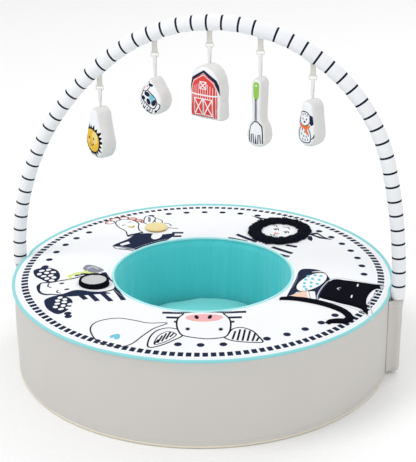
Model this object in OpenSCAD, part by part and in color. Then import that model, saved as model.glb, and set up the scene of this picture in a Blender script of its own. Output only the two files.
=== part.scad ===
// Activity play gym: a padded foam ring with a cushioned well, and a padded
// toy arch whose two legs stand in fabric pockets on the ring's outer wall.
// Origin: centre of the ring's underside. +X runs along the arch's span, +Z is up.

/* [Ring] */
// Outside diameter of the ring, over its piping
ring_d = 860; // [820:10:900]
// Height of the seam round the ring's top edge
ring_h = 200; // [180:5:220]
// Clear diameter of the well, inside the inner piping
well_d = 402; // [380:2:420]
// How far the top cover is crowned above its seams
top_crown = 6; // [3:1:8]
// Diameter of the piping round the top's outer edge
outer_piping_d = 7; // [6:1:9]
// Diameter of the piping round the well's mouth
inner_piping_d = 6; // [5:1:8]
// Diameter of the piping round the bottom edge
bottom_piping_d = 6; // [4:1:6]
// Thickness of the woven covers
cover_t = 2; // [1:0.5:2]

/* [Well] */
// Thickness of the quilted plush lining on the well's wall
lining_t = 6; // [4:1:8]
// Height of the padded floor's edge
floor_h = 55; // [40:5:80]
// How far the floor's middle stands above its edge
floor_crown = 8; // [4:1:12]

/* [Arch] */
// Clearance between a leg's sleeve and the ring's wall
leg_gap = 2; // [2:1:6]
// Outside diameter of the padded sleeve
sleeve_d = 32; // [30:1:32]
// Diameter of the flexible rod inside
rod_d = 8; // [6:1:10]
// Height at which the legs start to bend
spring_z = 198; // [185:1:210]
// Bend radius of the left side
left_r = 627; // [600:1:650]
// Bend radius of the right side
right_r = 1268; // [1200:1:1350]
// Bend radius of the crown
crown_r = 379; // [370:1:390]

/* [Pockets] */
// Height of a pocket's mouth
pocket_top = 182; // [170:1:185]
// Height of a pocket's closed end
pocket_foot = 6; // [4:1:8]
// Thickness of a pocket's stiffened fabric
pocket_t = 2.4; // [2:0.1:3]
// Diameter of the peg on each leg's end, which stands in the pocket
peg_d = 12; // [11:0.5:12]

/* [Hidden] */

gap = 0.3;                 // clearance between neighbouring curved pieces
ring_fn = 96;
tube_fn = 32;

// Ring radii, from the outside in
piping_r = ring_d / 2 - outer_piping_d / 2;
wall_r = piping_r - 2.5;
leg_x = wall_r + sleeve_d / 2 + leg_gap;
foam_r = wall_r - cover_t - gap;
lip_r = well_d / 2 + inner_piping_d / 2;
lining_r = well_d / 2 + cover_t;
foam_bore_r = lining_r + lining_t + gap;
hem_r = wall_r - cover_t;
hem_lift = 0.5;            // keeps the hem off the surface that the base rests on
mid_r = (piping_r + lip_r) / 2;
half_w = (piping_r - lip_r) / 2;

// Height of the top cover's upper face at a distance r from the centre
function top_z(r) = ring_h + top_crown * (1 - pow((r - mid_r) / half_w, 2));

// Points along the crown, drop below the upper face, running from r0 to r1
crown_steps = 10;
function crown_line(r0, r1, drop) = [
    for (i = [0 : crown_steps])
    let (r = r0 + (r1 - r0) * i / crown_steps) [r, top_z(r) - drop]
];

// ---------------------------------------------------------------- ring

module torus(r, d, z) {
    translate([0, 0, z])
    rotate_extrude($fn = ring_fn)
    translate([r, 0])
    circle(d = d, $fn = tube_fn);
}

module pipe(r_out, r_in, z0, z1) {
    translate([0, 0, z0])
    difference() {
        cylinder(r = r_out, h = z1 - z0, $fn = ring_fn);
        translate([0, 0, -1])
        cylinder(r = r_in, h = z1 - z0 + 2, $fn = ring_fn);
    }
}

// Non-slip disc of fabric under the whole ring
module base_cover() {
    color("gainsboro")
    cylinder(r = hem_r - bottom_piping_d / 2 - gap, h = cover_t, $fn = ring_fn);
}

module bottom_piping() {
    color("antiquewhite")
    torus(hem_r, bottom_piping_d, bottom_piping_d / 2 + hem_lift);
}

side_z0 = hem_lift + bottom_piping_d + gap;
side_z1 = ring_h - outer_piping_d / 2 - gap;

module side_cover() {
    color("whitesmoke")
    pipe(wall_r, wall_r - cover_t, side_z0, side_z1);
}

// Foam block that gives the ring its shape, relieved at its corners for the piping
module foam_ring() {
    low = cover_t + gap;
    under = cover_t + gap;
    shoulder = min(foam_r, piping_r - outer_piping_d / 2 - gap) - 0.5;
    color("lightyellow")
    rotate_extrude($fn = ring_fn)
    polygon(concat(
        [
            [foam_bore_r, low],
            [hem_r - bottom_piping_d / 2 - gap, low],
            [hem_r - bottom_piping_d / 2 - gap, side_z0 + gap],
            [foam_r, side_z0 + gap],
            [foam_r, side_z1],
            [shoulder, side_z1]
        ],
        crown_line(shoulder, lip_r + inner_piping_d / 2 + gap, under),
        [
            [lip_r + inner_piping_d / 2 + gap, ring_h - inner_piping_d / 2 - gap],
            [foam_bore_r, ring_h - inner_piping_d / 2 - gap]
        ]
    ));
}

module top_cover() {
    r0 = lip_r + inner_piping_d / 2 + gap;
    r1 = piping_r - outer_piping_d / 2 - gap;
    color("white")
    rotate_extrude($fn = ring_fn)
    polygon(concat(crown_line(r0, r1, 0), crown_line(r1, r0, cover_t)));
}

// Piping that is pressed flat where a leg stands against it
module outer_piping() {
    color("paleturquoise")
    difference() {
        torus(piping_r, outer_piping_d, ring_h);
        for (side = [-1, 1])
        translate([side * leg_x, 0, ring_h])
        cube([sleeve_d + 4 * gap, sleeve_d, 2 * outer_piping_d], center = true);
    }
}

module inner_piping() {
    color("lightcyan")
    torus(lip_r, inner_piping_d, ring_h);
}

module well_lining() {
    color("mediumturquoise")
    pipe(lining_r + lining_t, lining_r, cover_t + gap, ring_h - inner_piping_d / 2 - gap);
}

// Half profile of the cushioned floor, radius r and edge height h above z0
module floor_form(r, h, z0) {
    rise_steps = 8;
    translate([0, 0, z0])
    rotate_extrude($fn = ring_fn)
    polygon(concat(
        [[0, 0], [r, 0]],
        [for (i = [0 : rise_steps])
            let (u = 1 - i / rise_steps) [r * u, h + floor_crown * (1 - u * u)]]
    ));
}

module floor_pad() {
    color("lightyellow")
    floor_form(lining_r - cover_t - 2 * gap, floor_h - 2 * cover_t - 2 * gap, cover_t + gap);
}

module floor_cover() {
    color("turquoise")
    difference() {
        floor_form(lining_r - gap, floor_h - cover_t - gap, cover_t + gap);
        floor_form(lining_r - cover_t - gap, floor_h - 2 * cover_t, cover_t - gap);
    }
}

// ---------------------------------------------------------------- pockets

pocket_bore = peg_d + 3;
pocket_r = pocket_bore / 2 + pocket_t;
pocket_seam = 20;          // half of the width between the seams on the wall
facet_x = 0.7 * pocket_r;
facet_y = 0.72 * pocket_r;

// Pocket seen from above: flared seams on the wall and two flat facets outside
module pocket_plan() {
    seam_x = wall_r - leg_x + gap;
    circle(r = pocket_r, $fn = tube_fn);
    polygon([
        [seam_x, -pocket_seam],
        [-4, -pocket_r],
        [facet_x, -facet_y],
        [pocket_r + 1.5, 0],
        [facet_x, facet_y],
        [-4, pocket_r],
        [seam_x, pocket_seam]
    ]);
}

module pocket() {
    difference() {
        translate([leg_x, 0, pocket_foot])
        linear_extrude(pocket_top - pocket_foot)
        pocket_plan();
        hull()
        for (x = [leg_x, wall_r + pocket_t + pocket_bore / 2])
        translate([x, 0, pocket_foot + pocket_t])
        cylinder(d = pocket_bore, h = pocket_top, $fn = tube_fn);
        cylinder(r = wall_r + gap, h = ring_h, $fn = ring_fn);
    }
}

module pocket_right() {
    color("whitesmoke")
    pocket();
}

module pocket_left() {
    color("whitesmoke")
    mirror([1, 0, 0])
    pocket();
}

// ---------------------------------------------------------------- zip

zip_z = 24;                // height of the zip's line on the side cover
zip_tape_w = 22;
zip_tape_t = 1.2;
zip_half = 42;             // half of the zip's run round the back, in degrees
zip_rest = 38;             // where the closed slider is parked, in degrees from the back
slider_len = 11;
slider_w = 9;
slider_t = 3.4;

module around(from, to, r_in, r_out, z0, z1) {
    translate([0, 0, z0])
    rotate([0, 0, from])
    rotate_extrude(angle = to - from, $fn = ring_fn)
    translate([r_in, 0])
    square([r_out - r_in, z1 - z0]);
}

module zip_tape() {
    r = wall_r + gap;
    color("lightgray")
    around(90 - zip_half, 90 + zip_half, r, r + zip_tape_t,
        zip_z - zip_tape_w / 2, zip_z + zip_tape_w / 2);
}

module at_slider() {
    rotate([0, 0, 90 - zip_rest])
    translate([wall_r + zip_tape_t + 2 * gap, 0, zip_z])
    children();
}

// Slider body with a stepped upper edge, and the eye that holds its pull
module zip_slider() {
    color("silver")
    at_slider() {
        difference() {
            translate([0, -slider_len / 2, -slider_w / 2])
            cube([slider_t, slider_len, slider_w]);
            translate([slider_t / 2 + 0.4, -slider_len, slider_w / 2 - 1])
            cube([slider_t, 2 * slider_len, slider_w]);
        }
        translate([slider_t + 1, 0, -1])
        rotate([90, 0, 0])
        difference() {
            cylinder(r = 2.2, h = 3, center = true, $fn = tube_fn);
            cylinder(r = 1.1, h = 4, center = true, $fn = tube_fn);
            translate([-3.2, 0, 0])
            cube([4, 6, 6], center = true);
        }
    }
}

module zip_pull() {
    color("silver")
    at_slider()
    translate([slider_t + 1, 0, -1]) {
        rotate([90, 0, 0])
        cylinder(r = 0.8, h = 7, center = true, $fn = tube_fn);
        for (y = [-3.5, 2])
        translate([-0.8, y, -6])
        cube([1.6, 1.5, 6.3]);
        translate([-0.8, -3.5, -20])
        cube([1.6, 7, 14.6]);
    }
}

// ---------------------------------------------------------------- sewn-on pieces

patch_lift = 0.4;          // how far a patch's underside clears the crowned cover

// Stands a piece on the cover at radius r and angle a, over the highest point within its reach
module on_top(r, a, reach) {
    highest = min(max(mid_r, r - reach), r + reach);
    rotate([0, 0, a])
    translate([r, 0, top_z(highest) + patch_lift])
    children();
}

wool_at = [295, 64.6];     // radius and angle of the woolly ring's centre
wool_r = 61.5;
wool_w = 28;
wool_h = 11;

module sheep_wool() {
    color("midnightblue")
    on_top(wool_at[0], wool_at[1], wool_r)
    rotate_extrude($fn = 64)
    translate([wool_r - wool_w / 2, 0])
    square([wool_w, wool_h]);
}

cat_at = [345, -7.5];
cat_t = 5;

// Cat seen from above, x away from the well: chin, cheeks and two ears
module cat_patch() {
    color("black")
    on_top(cat_at[0], cat_at[1], 50)
    linear_extrude(cat_t)
    polygon([
        [-53, 49], [4, 57], [51, 63], [50, 52], [42, 30],
        [40, -8], [46, -37], [60, -82], [42, -66], [-4, -60], [-56, -46]
    ]);
}

tail_w = 12;
tail_t = 6;
tail = [                   // radius and angle of points along the tail's middle
    [224, -28.6], [250, -24.6], [285, -23.6], [320, -23.2], [352, -23.2],
    [378, -24.2], [392, -26.2], [390, -28.8], [374, -30.4]
];

module cat_tail() {
    high = top_z(mid_r) + patch_lift;
    color("black")
    translate([0, 0, high])
    linear_extrude(tail_t)
    for (i = [0 : len(tail) - 1]) {
        rotate([0, 0, tail[i][1]])
        translate([tail[i][0], 0])
        circle(d = tail_w, $fn = tube_fn);
        if (i < len(tail) - 1)
            tail_link(tail[i], tail[i + 1]);
    }
}

function from_polar(p) = [p[0] * cos(p[1]), p[0] * sin(p[1])];

// Straight stretch of the tail between two polar points
module tail_link(p, q) {
    a = from_polar(p);
    b = from_polar(q);
    run = b - a;
    translate(a)
    rotate([0, 0, atan2(run[1], run[0])])
    translate([0, -tail_w / 2])
    square([norm(run), tail_w]);
}

mirror_at = [250, -151.5];
mirror_r = 34;
mirror_rim_w = 6;
mirror_t = 9;

// Padded black rim of the round play mirror
module mirror_rim() {
    color("black")
    on_top(mirror_at[0], mirror_at[1], mirror_r)
    difference() {
        cylinder(r = mirror_r, h = mirror_t, $fn = 64);
        translate([0, 0, mirror_t - 2.5])
        cylinder(r = mirror_r - mirror_rim_w, h = mirror_t, $fn = 64);
    }
}

module mirror_disc() {
    color("lightblue")
    on_top(mirror_at[0], mirror_at[1], mirror_r)
    translate([0, 0, mirror_t - 2.5 + gap])
    cylinder(r = mirror_r - mirror_rim_w - gap, h = 1.2, $fn = 64);
}

flap_at = [283, 127.8];
flap_r = 28;
flap_t = 3.5;
flap_lift = 1.1;           // extra room under the flap

// Padded disc that is sewn down along its outer edge and lifts like a lid
module hen_flap() {
    color("khaki")
    on_top(flap_at[0], flap_at[1], flap_r)
    translate([0, 0, flap_lift])
    cylinder(r = flap_r, h = flap_t, $fn = 64);
}

// ---------------------------------------------------------------- arch

// Three arcs that meet on common tangents, standing on two straight legs
left_c = [-leg_x + left_r, spring_z];
right_c = [leg_x - right_r, spring_z];
centre_gap = left_c[0] - right_c[0];
left_span = left_r - crown_r;
right_span = right_r - crown_r;
along = (pow(left_span, 2) - pow(right_span, 2) + pow(centre_gap, 2)) / (2 * centre_gap);
crown_c = [left_c[0] - along, spring_z + sqrt(pow(left_span, 2) - pow(along, 2))];
left_turn = atan2(crown_c[1] - left_c[1], crown_c[0] - left_c[0]);
right_turn = atan2(crown_c[1] - right_c[1], crown_c[0] - right_c[0]);

// Arc of a solid bar in the arch's plane, from angle a0 to a1 about centre c
module bend(c, r, a0, a1, d) {
    translate([c[0], 0, c[1]])
    rotate([90, 0, 0])
    rotate([0, 0, a0])
    rotate_extrude(angle = a1 - a0, $fn = ring_fn)
    translate([r, 0])
    circle(d = d, $fn = tube_fn);
}

module leg(x, z0, z1, d) {
    translate([x, 0, z0])
    cylinder(d = d, h = z1 - z0, $fn = tube_fn);
}

lap = 0.4;                 // how far a stretch runs into the next, thicker one, in degrees
lap_mm = 3;

// Half of the arch from a leg to the angle crown_end; every stretch is step thicker than the last
module half_left(d, step, z0, crown_end) {
    leg(-leg_x, z0, spring_z + lap_mm, d);
    bend(left_c, left_r, left_turn - lap, 180, d + step);
    bend(crown_c, crown_r, crown_end, left_turn, d + 2 * step);
}

module half_right(d, step, z0, crown_end) {
    leg(leg_x, z0, spring_z + lap_mm, d);
    bend(right_c, right_r, 0, right_turn + lap, d + step);
    bend(crown_c, crown_r, right_turn, crown_end, d + 2 * step);
}

// Whole arch as one solid bar
module arch_bar(d, step, z0) {
    leg(-leg_x, z0, spring_z + lap_mm, d);
    bend(left_c, left_r, left_turn - lap, 180, d + step);
    bend(crown_c, crown_r, right_turn, left_turn, d + 2 * step);
    bend(right_c, right_r, 0, right_turn + lap, d + step);
    leg(leg_x, z0, spring_z + lap_mm, d);
}

// Arch-shaped tube with its bore
module arch_tube(d, bore, z0) {
    difference() {
        arch_bar(d, swell, z0);
        arch_bar(bore, swell, z0 - 1);
    }
}

swell = 0.8;               // growth of the sleeve's diameter from leg to side to crown
rod_swell = 0.4;           // the same for the rods
rod_join = 82;             // angle on the crown at which the two rods meet
ferrule_half = 5;          // half of the ferrule's length, in degrees of the crown
ferrule_wall = 1.5;
rod_gap = 0.1;             // half of the space between the rods' ends, in degrees
sleeve_foot_z = pocket_top + 1.5;
peg_z = pocket_foot + pocket_t + 0.6;
rod_foot_z = peg_z + 15;
ferrule_bore = rod_d + 2 * rod_swell + 0.2;
ferrule_d = ferrule_bore + 2 * ferrule_wall;
padding_bore = ferrule_d + 2 * gap;
sleeve_bore = sleeve_d - 2 * cover_t;
padding_d = sleeve_bore - 2 * gap;

module arch_rod_left() {
    color("gray")
    half_left(rod_d, rod_swell, rod_foot_z, rod_join + rod_gap);
}

module arch_rod_right() {
    color("gray")
    half_right(rod_d, rod_swell, rod_foot_z, rod_join - rod_gap);
}

module arch_ferrule() {
    color("silver")
    difference() {
        bend(crown_c, crown_r, rod_join - ferrule_half, rod_join + ferrule_half, ferrule_d);
        bend(crown_c, crown_r, rod_join - 2 * ferrule_half, rod_join + 2 * ferrule_half, ferrule_bore);
    }
}

module arch_padding() {
    color("lightyellow")
    arch_tube(padding_d, padding_bore, sleeve_foot_z + cover_t);
}

module arch_sleeve() {
    color("white")
    arch_tube(sleeve_d, sleeve_bore, sleeve_foot_z);
}

// Moulded peg over a rod's lower end; its upper end is held in the padding
module foot(x) {
    taper = 4;
    translate([x, 0, peg_z])
    difference() {
        union() {
            cylinder(d1 = peg_d - taper, d2 = peg_d, h = taper, $fn = tube_fn);
            translate([0, 0, taper])
            cylinder(d = peg_d, h = sleeve_foot_z + 10 - peg_z - taper, $fn = tube_fn);
        }
        translate([0, 0, rod_foot_z - peg_z])
        cylinder(d = rod_d + 0.2, h = pocket_top, $fn = tube_fn);
    }
}

module foot_left() {
    color("dimgray")
    foot(-leg_x);
}

module foot_right() {
    color("dimgray")
    foot(leg_x);
}

// ---------------------------------------------------------------- toys

crown_start_x = crown_c[0] + crown_r * cos(left_turn);

// Height of the arch's centreline over x, for the stretches that carry toys
function arch_z(x) =
    x < crown_start_x
    ? left_c[1] + sqrt(pow(left_r, 2) - pow(x - left_c[0], 2))
    : crown_c[1] + sqrt(pow(crown_r, 2) - pow(x - crown_c[0], 2));

hair = 0.1;
tab_w = 12;                // width of the fabric tab under the sleeve
tab_t = 3;                 // its two layers
tab_fold_d = 5.6;          // the fold that holds the ring's upper bar
tab_drop = 28;             // from the sleeve's underside to the middle of that bar
ring_w = 19;               // flat plastic ring between tab and ribbon
ring_drop = 9.4;           // from the middle of its upper bar to the middle of its lower bar
ring_bar = 2.4;
ribbon_w = 8;
ribbon_t = 1.2;
ribbon_play = 1;           // slack of the ribbon's loop round the lower bar

// Each toy: x on the arch, top and bottom of its body, turn about Z, and depth
sun = [-228, 580, 458, -41, 40];
calf = [-101, 655, 568, -26, 40];
barn = [20, 690, 568, -21, 42];
fork = [130, 668, 513, -16, 38];
pup = [242, 627, 521, -34, 40];

// Heights of the upper and lower bars of a toy's ring
function upper_bar_z(t) = arch_z(t[0]) - sleeve_d / 2 - tab_drop;
function lower_bar_z(t) = upper_bar_z(t) - ring_drop;

// Bar of length w and diameter d along X, in the middle of the arch's plane
module cross_bar(x, z, w, d) {
    translate([x - w / 2, 0, z])
    rotate([0, 90, 0])
    cylinder(d = d, h = w, $fn = tube_fn);
}

// Strap folded round the ring's upper bar and sewn to the sleeve
module toy_tab(t) {
    z = upper_bar_z(t);
    difference() {
        union() {
            translate([t[0] - tab_w / 2, -tab_t / 2, z])
            cube([tab_w, tab_t, arch_z(t[0]) - z]);
            cross_bar(t[0], z, tab_w, tab_fold_d);
        }
        cross_bar(t[0], z, 2 * tab_w, ring_bar + 2 * gap);
        sleeve_over(t[0]);
    }
}

// The sleeve's outer surface on the stretch above x, with a hair of room
module sleeve_over(x) {
    if (x < crown_start_x)
        bend(left_c, left_r, left_turn, 180, sleeve_d + swell + hair);
    else
        bend(crown_c, crown_r, right_turn, left_turn, sleeve_d + 2 * swell + hair);
}

module toy_ring(t) {
    z0 = lower_bar_z(t);
    for (z = [z0, z0 + ring_drop])
    cross_bar(t[0], z, ring_w - ring_bar, ring_bar);
    for (side = [-1, 1])
    translate([t[0] + side * (ring_w - ring_bar - hair) / 2, 0, z0 + ring_drop / 2])
    cube([ring_bar + hair, ring_bar + hair, ring_drop + ring_bar + hair], center = true);
}

// Ribbon folded over the ring's lower bar, with its ends sewn into the toy's top seam
module toy_ribbon(t) {
    z = lower_bar_z(t);
    loop_d = ring_bar + 2 * ribbon_play;
    low = t[1] + gap;
    difference() {
        union() {
            cross_bar(t[0], z, ribbon_w, loop_d + 2 * ribbon_t);
            translate([t[0] - ribbon_w / 2, -loop_d / 2 - ribbon_t / 2, low])
            cube([ribbon_w, loop_d + ribbon_t, z - low]);
        }
        cross_bar(t[0], z, 2 * ribbon_w, loop_d);
        translate([t[0] - ribbon_w, -loop_d / 2 + ribbon_t / 2, low + 4])
        cube([2 * ribbon_w, loop_d - ribbon_t, z - low - 4]);
    }
}

// Outlines in the plane of each toy's face, x across and y up, 0 at the toy's top
module sun_plan() {
    hull() {
        translate([0, -20])
        circle(r = 20, $fn = 40);
        translate([-2, -82])
        circle(r = 39, $fn = 48);
    }
}

module calf_plan() {
    hull() {
        translate([2, -9])
        circle(r = 9, $fn = 32);
        translate([0, -50])
        circle(r = 36, $fn = 48);
    }
}

module barn_plan() {
    polygon([
        [-8, 0], [8, 0], [26, -9], [38, -26], [43, -50],
        [43, -122], [-43, -122], [-43, -50], [-38, -26], [-26, -9]
    ]);
}

module fork_plan() {
    hull() {
        translate([0, -15])
        circle(r = 15, $fn = 32);
        translate([0, -90])
        circle(r = 14, $fn = 32);
    }
    hull() {
        translate([0, -85])
        circle(r = 13, $fn = 32);
        translate([0, -130])
        circle(r = 25, $fn = 40);
    }
}

module pup_plan() {
    hull() {
        translate([2, -20])
        circle(r = 20, $fn = 40);
        translate([0, -76])
        circle(r = 30, $fn = 48);
    }
}

module toy_place(t, depth) {
    translate([t[0], 0, t[1]])
    rotate([0, 0, t[3]])
    rotate([90, 0, 0])
    translate([0, 0, -depth / 2])
    linear_extrude(depth)
    children();
}

shell_t = 1.6;

// Fabric shell of a toy: the outline less the room for its filling
module toy_cover(t) {
    difference() {
        toy_place(t, t[4])
        children();
        toy_place(t, t[4] - 2 * shell_t)
        offset(delta = -shell_t)
        children();
    }
}

module toy_filling(t) {
    toy_place(t, t[4] - 2 * shell_t - 2 * gap)
    offset(delta = -shell_t - gap)
    children();
}

module sun_tab() { color("antiquewhite") toy_tab(sun); }
module sun_ring() { color("white") toy_ring(sun); }
module sun_ribbon() { color("white") toy_ribbon(sun); }
module sun_cover() { color("gold") toy_cover(sun) sun_plan(); }
module sun_filling() { color("linen") toy_filling(sun) sun_plan(); }
module calf_tab() { color("antiquewhite") toy_tab(calf); }
module calf_ring() { color("white") toy_ring(calf); }
module calf_ribbon() { color("white") toy_ribbon(calf); }
module calf_cover() { color("lightblue") toy_cover(calf) calf_plan(); }
module calf_filling() { color("linen") toy_filling(calf) calf_plan(); }
module barn_tab() { color("antiquewhite") toy_tab(barn); }
module barn_ring() { color("white") toy_ring(barn); }
module barn_ribbon() { color("white") toy_ribbon(barn); }
module barn_cover() { color("tomato") toy_cover(barn) barn_plan(); }
module barn_filling() { color("linen") toy_filling(barn) barn_plan(); }
module fork_tab() { color("antiquewhite") toy_tab(fork); }
module fork_ring() { color("white") toy_ring(fork); }
module fork_ribbon() { color("white") toy_ribbon(fork); }
module fork_cover() { color("yellowgreen") toy_cover(fork) fork_plan(); }
module fork_filling() { color("linen") toy_filling(fork) fork_plan(); }
module pup_tab() { color("antiquewhite") toy_tab(pup); }
module pup_ring() { color("white") toy_ring(pup); }
module pup_ribbon() { color("white") toy_ribbon(pup); }
module pup_cover() { color("lightsalmon") toy_cover(pup) pup_plan(); }
module pup_filling() { color("linen") toy_filling(pup) pup_plan(); }

base_cover();
bottom_piping();
side_cover();
foam_ring();
top_cover();
outer_piping();
inner_piping();
well_lining();
floor_pad();
floor_cover();
pocket_left();
pocket_right();
zip_tape();
zip_slider();
zip_pull();
sheep_wool();
cat_patch();
cat_tail();
mirror_rim();
mirror_disc();
hen_flap();
arch_rod_left();
arch_rod_right();
arch_ferrule();
arch_padding();
arch_sleeve();
foot_left();
foot_right();
sun_tab();
sun_ring();
sun_ribbon();
sun_cover();
sun_filling();
calf_tab();
calf_ring();
calf_ribbon();
calf_cover();
calf_filling();
barn_tab();
barn_ring();
barn_ribbon();
barn_cover();
barn_filling();
fork_tab();
fork_ring();
fork_ribbon();
fork_cover();
fork_filling();
pup_tab();
pup_ring();
pup_ribbon();
pup_cover();
pup_filling();
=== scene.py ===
import math
import random

import bmesh
import bpy
import numpy as np
from mathutils import Matrix, Vector, geometry, noise
from mathutils.bvhtree import BVHTree


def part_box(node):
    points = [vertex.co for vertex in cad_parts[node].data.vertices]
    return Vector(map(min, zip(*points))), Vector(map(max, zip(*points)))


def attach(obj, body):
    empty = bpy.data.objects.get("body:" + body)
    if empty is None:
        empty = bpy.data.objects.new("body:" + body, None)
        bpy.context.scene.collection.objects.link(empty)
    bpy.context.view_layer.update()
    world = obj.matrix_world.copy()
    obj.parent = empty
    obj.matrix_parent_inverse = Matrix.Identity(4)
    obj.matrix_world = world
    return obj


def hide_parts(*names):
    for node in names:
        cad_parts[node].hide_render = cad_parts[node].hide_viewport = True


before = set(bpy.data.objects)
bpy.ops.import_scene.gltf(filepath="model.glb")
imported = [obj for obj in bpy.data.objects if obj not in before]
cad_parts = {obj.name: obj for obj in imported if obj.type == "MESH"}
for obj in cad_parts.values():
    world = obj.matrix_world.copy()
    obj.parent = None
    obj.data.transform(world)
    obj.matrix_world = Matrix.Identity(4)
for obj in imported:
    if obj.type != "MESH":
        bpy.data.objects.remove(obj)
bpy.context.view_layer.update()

MM = 0.001
TAU = 2 * math.pi

# ------------------------------------------------------------------ sizes from the frame

outer_lo, outer_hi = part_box("outer_piping")
inner_lo, inner_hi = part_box("inner_piping")
top_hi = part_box("top_cover")[1]
side_lo, side_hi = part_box("side_cover")
lining_lo, lining_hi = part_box("well_lining")
floor_lo, floor_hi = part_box("floor_cover")
pocket_lo, pocket_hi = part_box("pocket_right")
foot_lo, foot_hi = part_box("foot_right")
sleeve_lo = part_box("arch_sleeve")[0]

SEAM_Z = (outer_lo.z + outer_hi.z) / 2
OUTER_D = outer_hi.z - outer_lo.z
INNER_D = inner_hi.z - inner_lo.z
PIPING_R = outer_hi.y - OUTER_D / 2
LIP_R = inner_hi.y - INNER_D / 2
CROWN = top_hi.z - SEAM_Z
MID_R = (PIPING_R + LIP_R) / 2
HALF_W = (PIPING_R - LIP_R) / 2
WALL_R = side_hi.y
LINING_T = 6 * MM
WELL_R = lining_hi.y - LINING_T
LINING_TOP = lining_hi.z + 3 * MM
LEG_X = (foot_lo.x + foot_hi.x) / 2

# The arch's bends, as in the CAD: three arcs on common tangents over two straight legs
SPRING_Z = 198 * MM
LEFT_R = 627 * MM
RIGHT_R = 1268 * MM
CROWN_R = 379 * MM

# Each toy: x of its tab on the arch, and its turn about Z in degrees
TOYS = {"sun": (-228, -41), "calf": (-101, -26), "barn": (20, -21), "fork": (130, -16), "pup": (242, -34)}

# How deep each toy is, in mm, and the radius of the links they hang from
DEPTHS = {"sun": 40, "calf": 40, "barn": 42, "fork": 38, "pup": 40}
LINK_R = 1.25 * MM

INK = {
    "cloth": (0.87, 0.885, 0.91),
    "navy": (0.012, 0.020, 0.055),
    "black": (0.006, 0.006, 0.012),
    "line": (0.035, 0.035, 0.05),
    "stripe": (0.010, 0.014, 0.035),
    "grey": (0.24, 0.26, 0.31),
    "pale": (0.52, 0.54, 0.58),
    "pink": (0.84, 0.44, 0.46),
    "blush": (0.85, 0.42, 0.36),
    "peach": (0.90, 0.60, 0.47),
    "yellow": (0.86, 0.70, 0.24),
    "sun": (0.80, 0.50, 0.06),
    "lime": (0.66, 0.78, 0.22),
    "sky": (0.18, 0.55, 0.68),
    "red": (0.72, 0.07, 0.06),
    "green": (0.30, 0.58, 0.09),
    "orange": (0.85, 0.20, 0.07),
}

# ------------------------------------------------------------------ small geometry helpers


def rough(x, y, z=0.0, size=1.0):
    """Smooth noise from -1 to 1, with features of about the given size in metres."""
    return noise.noise(Vector((x / size, y / size, z / size)))


def smooth_step(x, low, high):
    t = min(max((x - low) / (high - low), 0.0), 1.0)
    return t * t * (3 - 2 * t)


def add_mesh(name, verts, faces, material, smooth=True):
    mesh = bpy.data.meshes.new(name)
    mesh.from_pydata([tuple(v) for v in verts], [], faces)
    mesh.materials.append(material)
    mesh.polygons.foreach_set("use_smooth", [smooth] * len(mesh.polygons))
    mesh.update()
    piece = bpy.data.objects.new(name, mesh)
    bpy.context.scene.collection.objects.link(piece)
    return piece


def give_uv(piece, uv_of_vertex):
    layer = piece.data.uv_layers.new(name="UVMap")
    index = np.empty(len(piece.data.loops), np.int32)
    piece.data.loops.foreach_get("vertex_index", index)
    layer.data.foreach_set("uv", np.asarray(uv_of_vertex, np.float32)[index].ravel())


def give_ink(piece, colour_of_face):
    """Colours each face with its printed ink; the cloth materials read it as the attribute "ink"."""
    layer = piece.data.attributes.new("ink", "FLOAT_COLOR", "CORNER")
    colours = []
    for polygon in piece.data.polygons:
        colours += [(*INK[colour_of_face[polygon.index]], 1.0)] * polygon.loop_total
    layer.data.foreach_set("color", np.asarray(colours, np.float32).ravel())


def grid(name, rows, cols, point, material, uv=None):
    """A closed band of quads. point(i, j) is the place of row i, column j; the last column joins the first."""
    verts = [point(i, j) for i in range(rows) for j in range(cols)]
    faces = []
    for i in range(rows - 1):
        for j in range(cols):
            k = (j + 1) % cols
            faces.append((i * cols + j, i * cols + k, (i + 1) * cols + k, (i + 1) * cols + j))
    piece = add_mesh(name, verts, faces, material)
    if uv:
        give_uv(piece, [uv(i, j) for i in range(rows) for j in range(cols)])
    return piece


def curve_points(points, steps=6, closed=True):
    """A smooth line (Catmull-Rom) through a few chosen points."""
    pts = [Vector(p) for p in points]
    n = len(pts)
    out = []
    for k in range(n if closed else n - 1):
        if closed:
            a, b, c, d = pts[k - 1], pts[k], pts[(k + 1) % n], pts[(k + 2) % n]
        else:
            a, b, c, d = pts[max(k - 1, 0)], pts[k], pts[k + 1], pts[min(k + 2, n - 1)]
        for s in range(steps):
            t = s / steps
            out.append(0.5 * (2 * b + (c - a) * t + (2 * a - 5 * b + 4 * c - d) * t * t
                              + (3 * b - a - 3 * c + d) * t ** 3))
    if not closed:
        out.append(pts[-1])
    return out


def ellipse(cx, cy, rx, ry, turn=0.0, steps=24):
    c, s = math.cos(math.radians(turn)), math.sin(math.radians(turn))
    ring = [(rx * math.cos(TAU * k / steps), ry * math.sin(TAU * k / steps)) for k in range(steps)]
    return [(cx + c * x - s * y, cy + s * x + c * y) for x, y in ring]


def box_shape(x0, y0, x1, y1):
    return [(x0, y0), (x1, y0), (x1, y1), (x0, y1)]


def bar(x0, y0, x1, y1, width):
    """A straight bar with square ends."""
    run = Vector((x1 - x0, y1 - y0)).normalized()
    side = Vector((-run.y, run.x)) * width / 2
    a, b = Vector((x0, y0)), Vector((x1, y1))
    return [a + side, a - side, b - side, b + side]


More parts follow.
